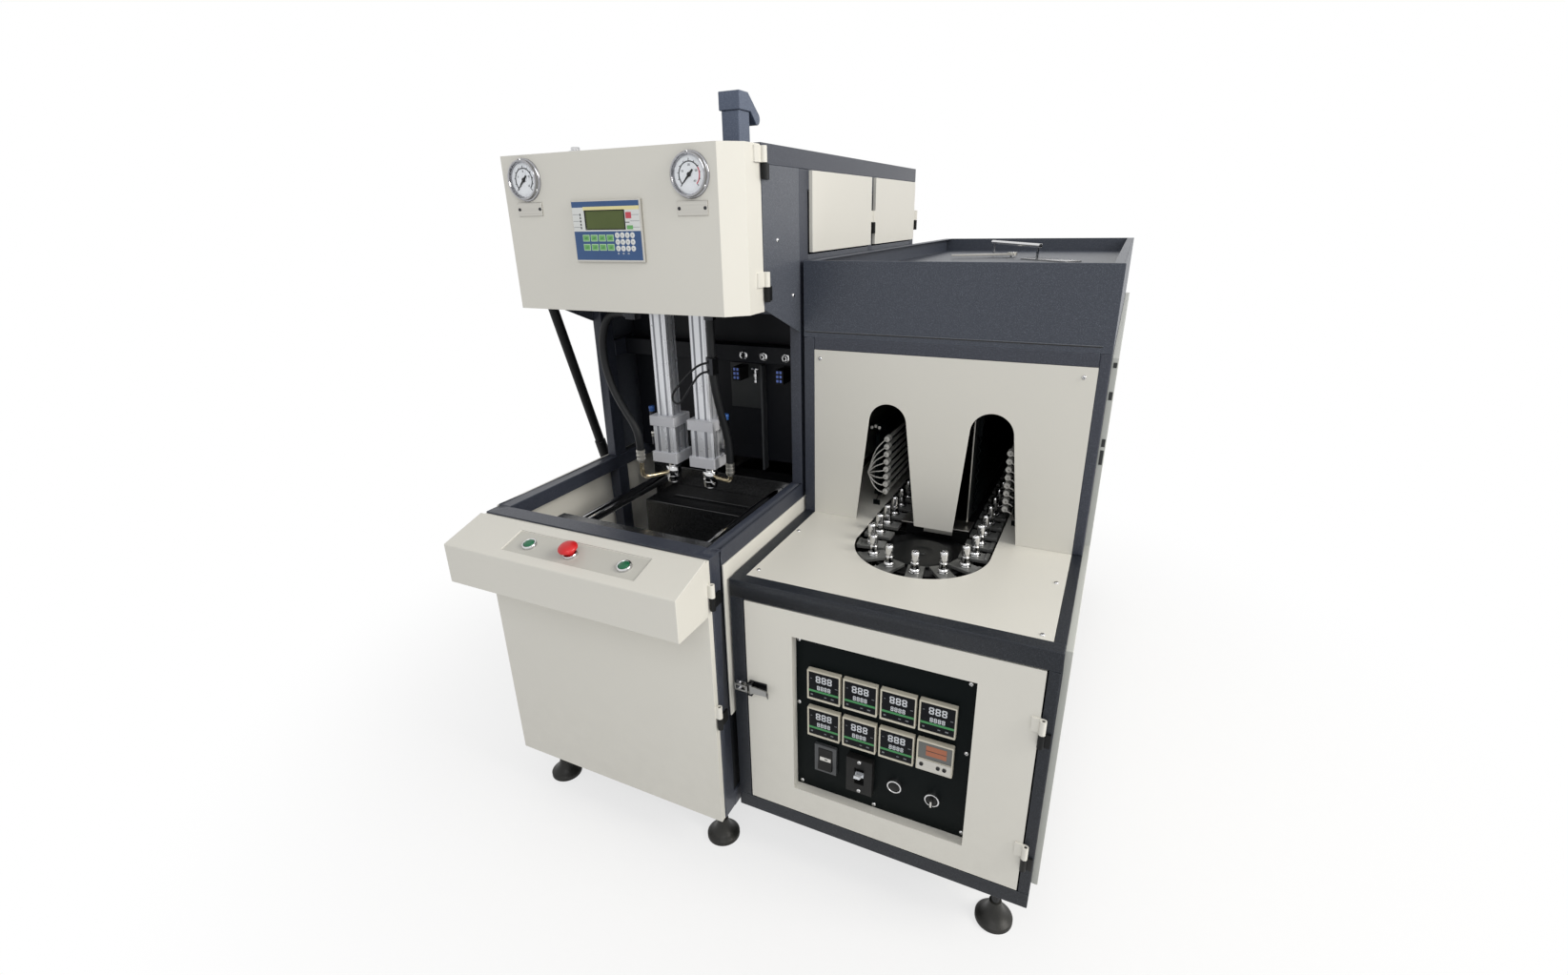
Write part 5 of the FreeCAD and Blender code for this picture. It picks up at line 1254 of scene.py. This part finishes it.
makeSwitches(switchSettings)
makeHardware(hardwareSettings)
makeController(controllerSettings)
makeGauges(gaugeSettings)
makeBay(baySettings)
makeSheets(sheetSettings)
print("panel, controller and gauges made")

# every other node keeps its packed form, with soft edges and its own finish
dressing = {
    "blow_base_frame": ("blueHammer", 2.0), "blow_upper_frame": ("blueHammer", 2.0),
    "column_top_cover": ("blueHammer", 2.0), "column_dark_panels": ("bayBlack", 0.8),
    "blow_side_panels": ("creamPowder", 0.9), "lifting_post": ("postBlue", 1.5),
    "front_platen": ("blackHammer", 2.5), "rear_platen": ("blackHammer", 2.5),
    "clamp_cylinder": ("castBlack", 1.0), "cylinder_tubes": ("anodised", 0.4),
    "cylinder_blocks": ("blastedGrey", 0.8), "hose_glands": ("darkSteel", 0.6),
    "hinge_lower_halves": ("blackPlastic", 0.5), "front_door": ("creamPowder", 1.2),
    "control_bar": ("creamPowder", 1.2), "head_cover": ("creamPowder", 1.2),
    "side_door_front": ("creamPowder", 1.0), "side_door_rear": ("creamPowder", 1.0),
    "gauge_pointer_left": ("inkBlack", 0.1), "gauge_pointer_right": ("inkBlack", 0.1),
    "heater_frame": ("paintedShadeHammer", 2.0), "work_table": ("creamPowder", 0.8),
    "front_slotted_panel": ("creamPowder", 0.7), "heater_hood": ("hoodHammer", 1.0),
    "heater_side_panels": ("sidePowder", 1.0), "carrier_plates": ("carrierSteel", 0.7),
    "conveyor_chain": ("darkSteel", 0.0), "conveyor_sprockets": ("darkSteel", 0.4),
    "conveyor_bed": ("castBlack", 0.8), "lamp_reflectors": ("blackSatin", 0.3),
    "drive_motor": ("castBlack", 1.0), "tray_handle": ("chrome", 0.5), "tray_strap": ("plateMetal", 0.6),
    "heater_door": ("creamPowder", 1.2), "instrument_panel": ("blackSatin", 0.4),
    "rocker_switch": ("blackPlastic", 0.5), "breaker_lever": ("segmentGrey", 0.5),
    "latch_lever": ("drawnSteel", 0.4)}
dressed = {node: dressNode(node, material, edge) for node, (material, edge) in dressing.items()}


def paintFaces(piece, material, chosen):
    # some faces of a dressed piece take a second finish
    piece.data.materials.append(finish[material])
    for face in piece.data.polygons:
        if chosen(face.center, face.normal):
            face.material_index = len(piece.data.materials) - 1


faceSettings = {
    "recess": ((-446, -85), (-147, -113), (1.0, 6.0)), "outerSides": (-582, -12), "slanting": (0.72, 0.95),
    "table": 800, "inward": 0.9, "bayFloor": 770, "beam": ((440, 520), (1000, 1100))}


def liesIn(centre, x=None, y=None, z=None):
    # whether a face's middle lies between the given limits, in drawing millimetres
    place = (centre - at(0, 0, 0)) / mm
    return all(limits is None or limits[0] < value < limits[1] for value, limits in zip(place, (x, y, z)))


def inRecess(centre, normal):
    # the sunk field of the control bar and its short walls, which take a darker cream as painted shade
    place = (centre - at(0, 0, 0)) / mm
    wide, deep, below = faceSettings["recess"]
    sunk = barPoint(place.x, place.y)[2] - place.z
    return liesIn(centre, wide, deep) and below[0] < sunk < below[1]


def onOuterSide(centre, normal):
    # the column panels' outer sides, which take the lighter hammer paint as painted sheen
    return not liesIn(centre, faceSettings["outerSides"])


def inGroove(centre, normal):
    # the slanting faces in the grooves of the cylinder tubes, which take a darker finish as painted shade
    low, high = faceSettings["slanting"]
    return low < max(abs(normal.x), abs(normal.y)) < high


def aboveTable(centre, normal):
    # the heater frame keeps the blue hammer paint above the table; below it the darker copy is painted shade
    return centre.z > at(0, 0, faceSettings["table"]).z


def onInnerSide(centre, normal):
    # the upper part of the side panels, seen from inside the open bay
    return normal.x > faceSettings["inward"] and centre.z > at(0, 0, faceSettings["bayFloor"]).z


def onBayBeam(centre, normal):
    # the cross rail at the back of the bay, which carries the three socket bolts
    deep, high = faceSettings["beam"]
    return liesIn(centre, y=deep, z=high)


secondFinish = {
    "column_dark_panels": ("columnHammer", onOuterSide), "cylinder_tubes": ("paintedGrooveShade", inGroove),
    "control_bar": ("recessShadePowder", inRecess), "heater_frame": ("blueHammer", aboveTable),
    "blow_side_panels": ("columnHammer", onInnerSide), "blow_upper_frame": ("bayBlack", onBayBeam),
}
for node, (material, chosen) in secondFinish.items():
    paintFaces(dressed[node], material, chosen)
print("nodes dressed:", len(dressing))

stageSettings = {
    "floorSize": 60.0, "floorColour": (0.88, 0.88, 0.88, 1), "nearGlow": 0.7, "fade": (0.8, 1.9),
    "skyLight": 0.54,
    "softboxes": (("keySoftbox", (5.0, -0.6, 3.6), (0, 0, 0.7), (2.6, 2.6), 202.0, (1.0, 0.965, 0.90)),
        ("fillSoftbox", (0.8, -2.9, 2.8), (0.1, -0.3, 1.0), (1.6, 1.2), 17.0, (0.98, 0.99, 1.0)))}


def showsBackground(tree):
    # camera, glossy and transmission rays see the plain white studio
    rays = addNode(tree, "LightPath").outputs
    seen = combine(tree, "ADD", rays["Is Camera Ray"], rays["Is Glossy Ray"])
    return combine(tree, "ADD", seen, rays["Is Transmission Ray"], use_clamp=True)


def makeStage(settings):
    pickOnly()
    bpy.ops.mesh.primitive_plane_add(size=settings["floorSize"], location=(0, 0, 0))
    floor = bpy.context.active_object
    floor.name = "studioFloor"
    material = bpy.data.materials.new("studioFloor")
    material.use_nodes = True
    tree = material.node_tree
    tree.nodes.clear()
    matt = addNode(tree, "BsdfDiffuse", {"Color": settings["floorColour"]})
    glow = addNode(tree, "Emission", {"Color": (1, 1, 1, 1), "Strength": 1.0})
    reach = addNode(tree, "VectorMath", {0: objectPoint(tree)}, operation="LENGTH")
    near, far = settings["fade"]
    limits = {"Value": reach.outputs["Value"], "From Min": near, "From Max": far,
        "To Min": settings["nearGlow"], "To Max": 1.0}
    part = addNode(tree, "MapRange", limits, interpolation_type="SMOOTHSTEP")
    part = combine(tree, "MULTIPLY", showsBackground(tree), part.outputs["Result"])
    mixed = addNode(tree, "MixShader", {0: part, 1: matt.outputs[0], 2: glow.outputs[0]})
    addNode(tree, "OutputMaterial", {"Surface": mixed.outputs[0]})
    floor.data.materials.append(material)


def addSoftbox(name, place, target, size, power, tint):
    data = bpy.data.lights.new(name, "AREA")
    data.shape = "RECTANGLE"
    data.size, data.size_y = size
    data.energy = power
    data.color = tint
    lamp = addObject(name, data)
    look = (Vector(target) - Vector(place)).to_track_quat("-Z", "Y")
    lamp.matrix_world = Matrix.Translation(Vector(place)) @ look.to_matrix().to_4x4()


def makeLight(settings):
    world = bpy.data.worlds.new("studio")
    bpy.context.scene.world = world
    world.use_nodes = True
    tree = world.node_tree
    tree.nodes.clear()
    level = spread(tree, showsBackground(tree), settings["skyLight"], 1.0)
    sky = addNode(tree, "Background", {"Color": (1, 1, 1, 1), "Strength": level})
    addNode(tree, "OutputWorld", {"Surface": sky.outputs[0]})
    for softbox in settings["softboxes"]:
        addSoftbox(*softbox)


makeStage(stageSettings)
makeLight(stageSettings)
bpy.context.scene.view_settings.view_transform = "Standard"
print("stage and light set")
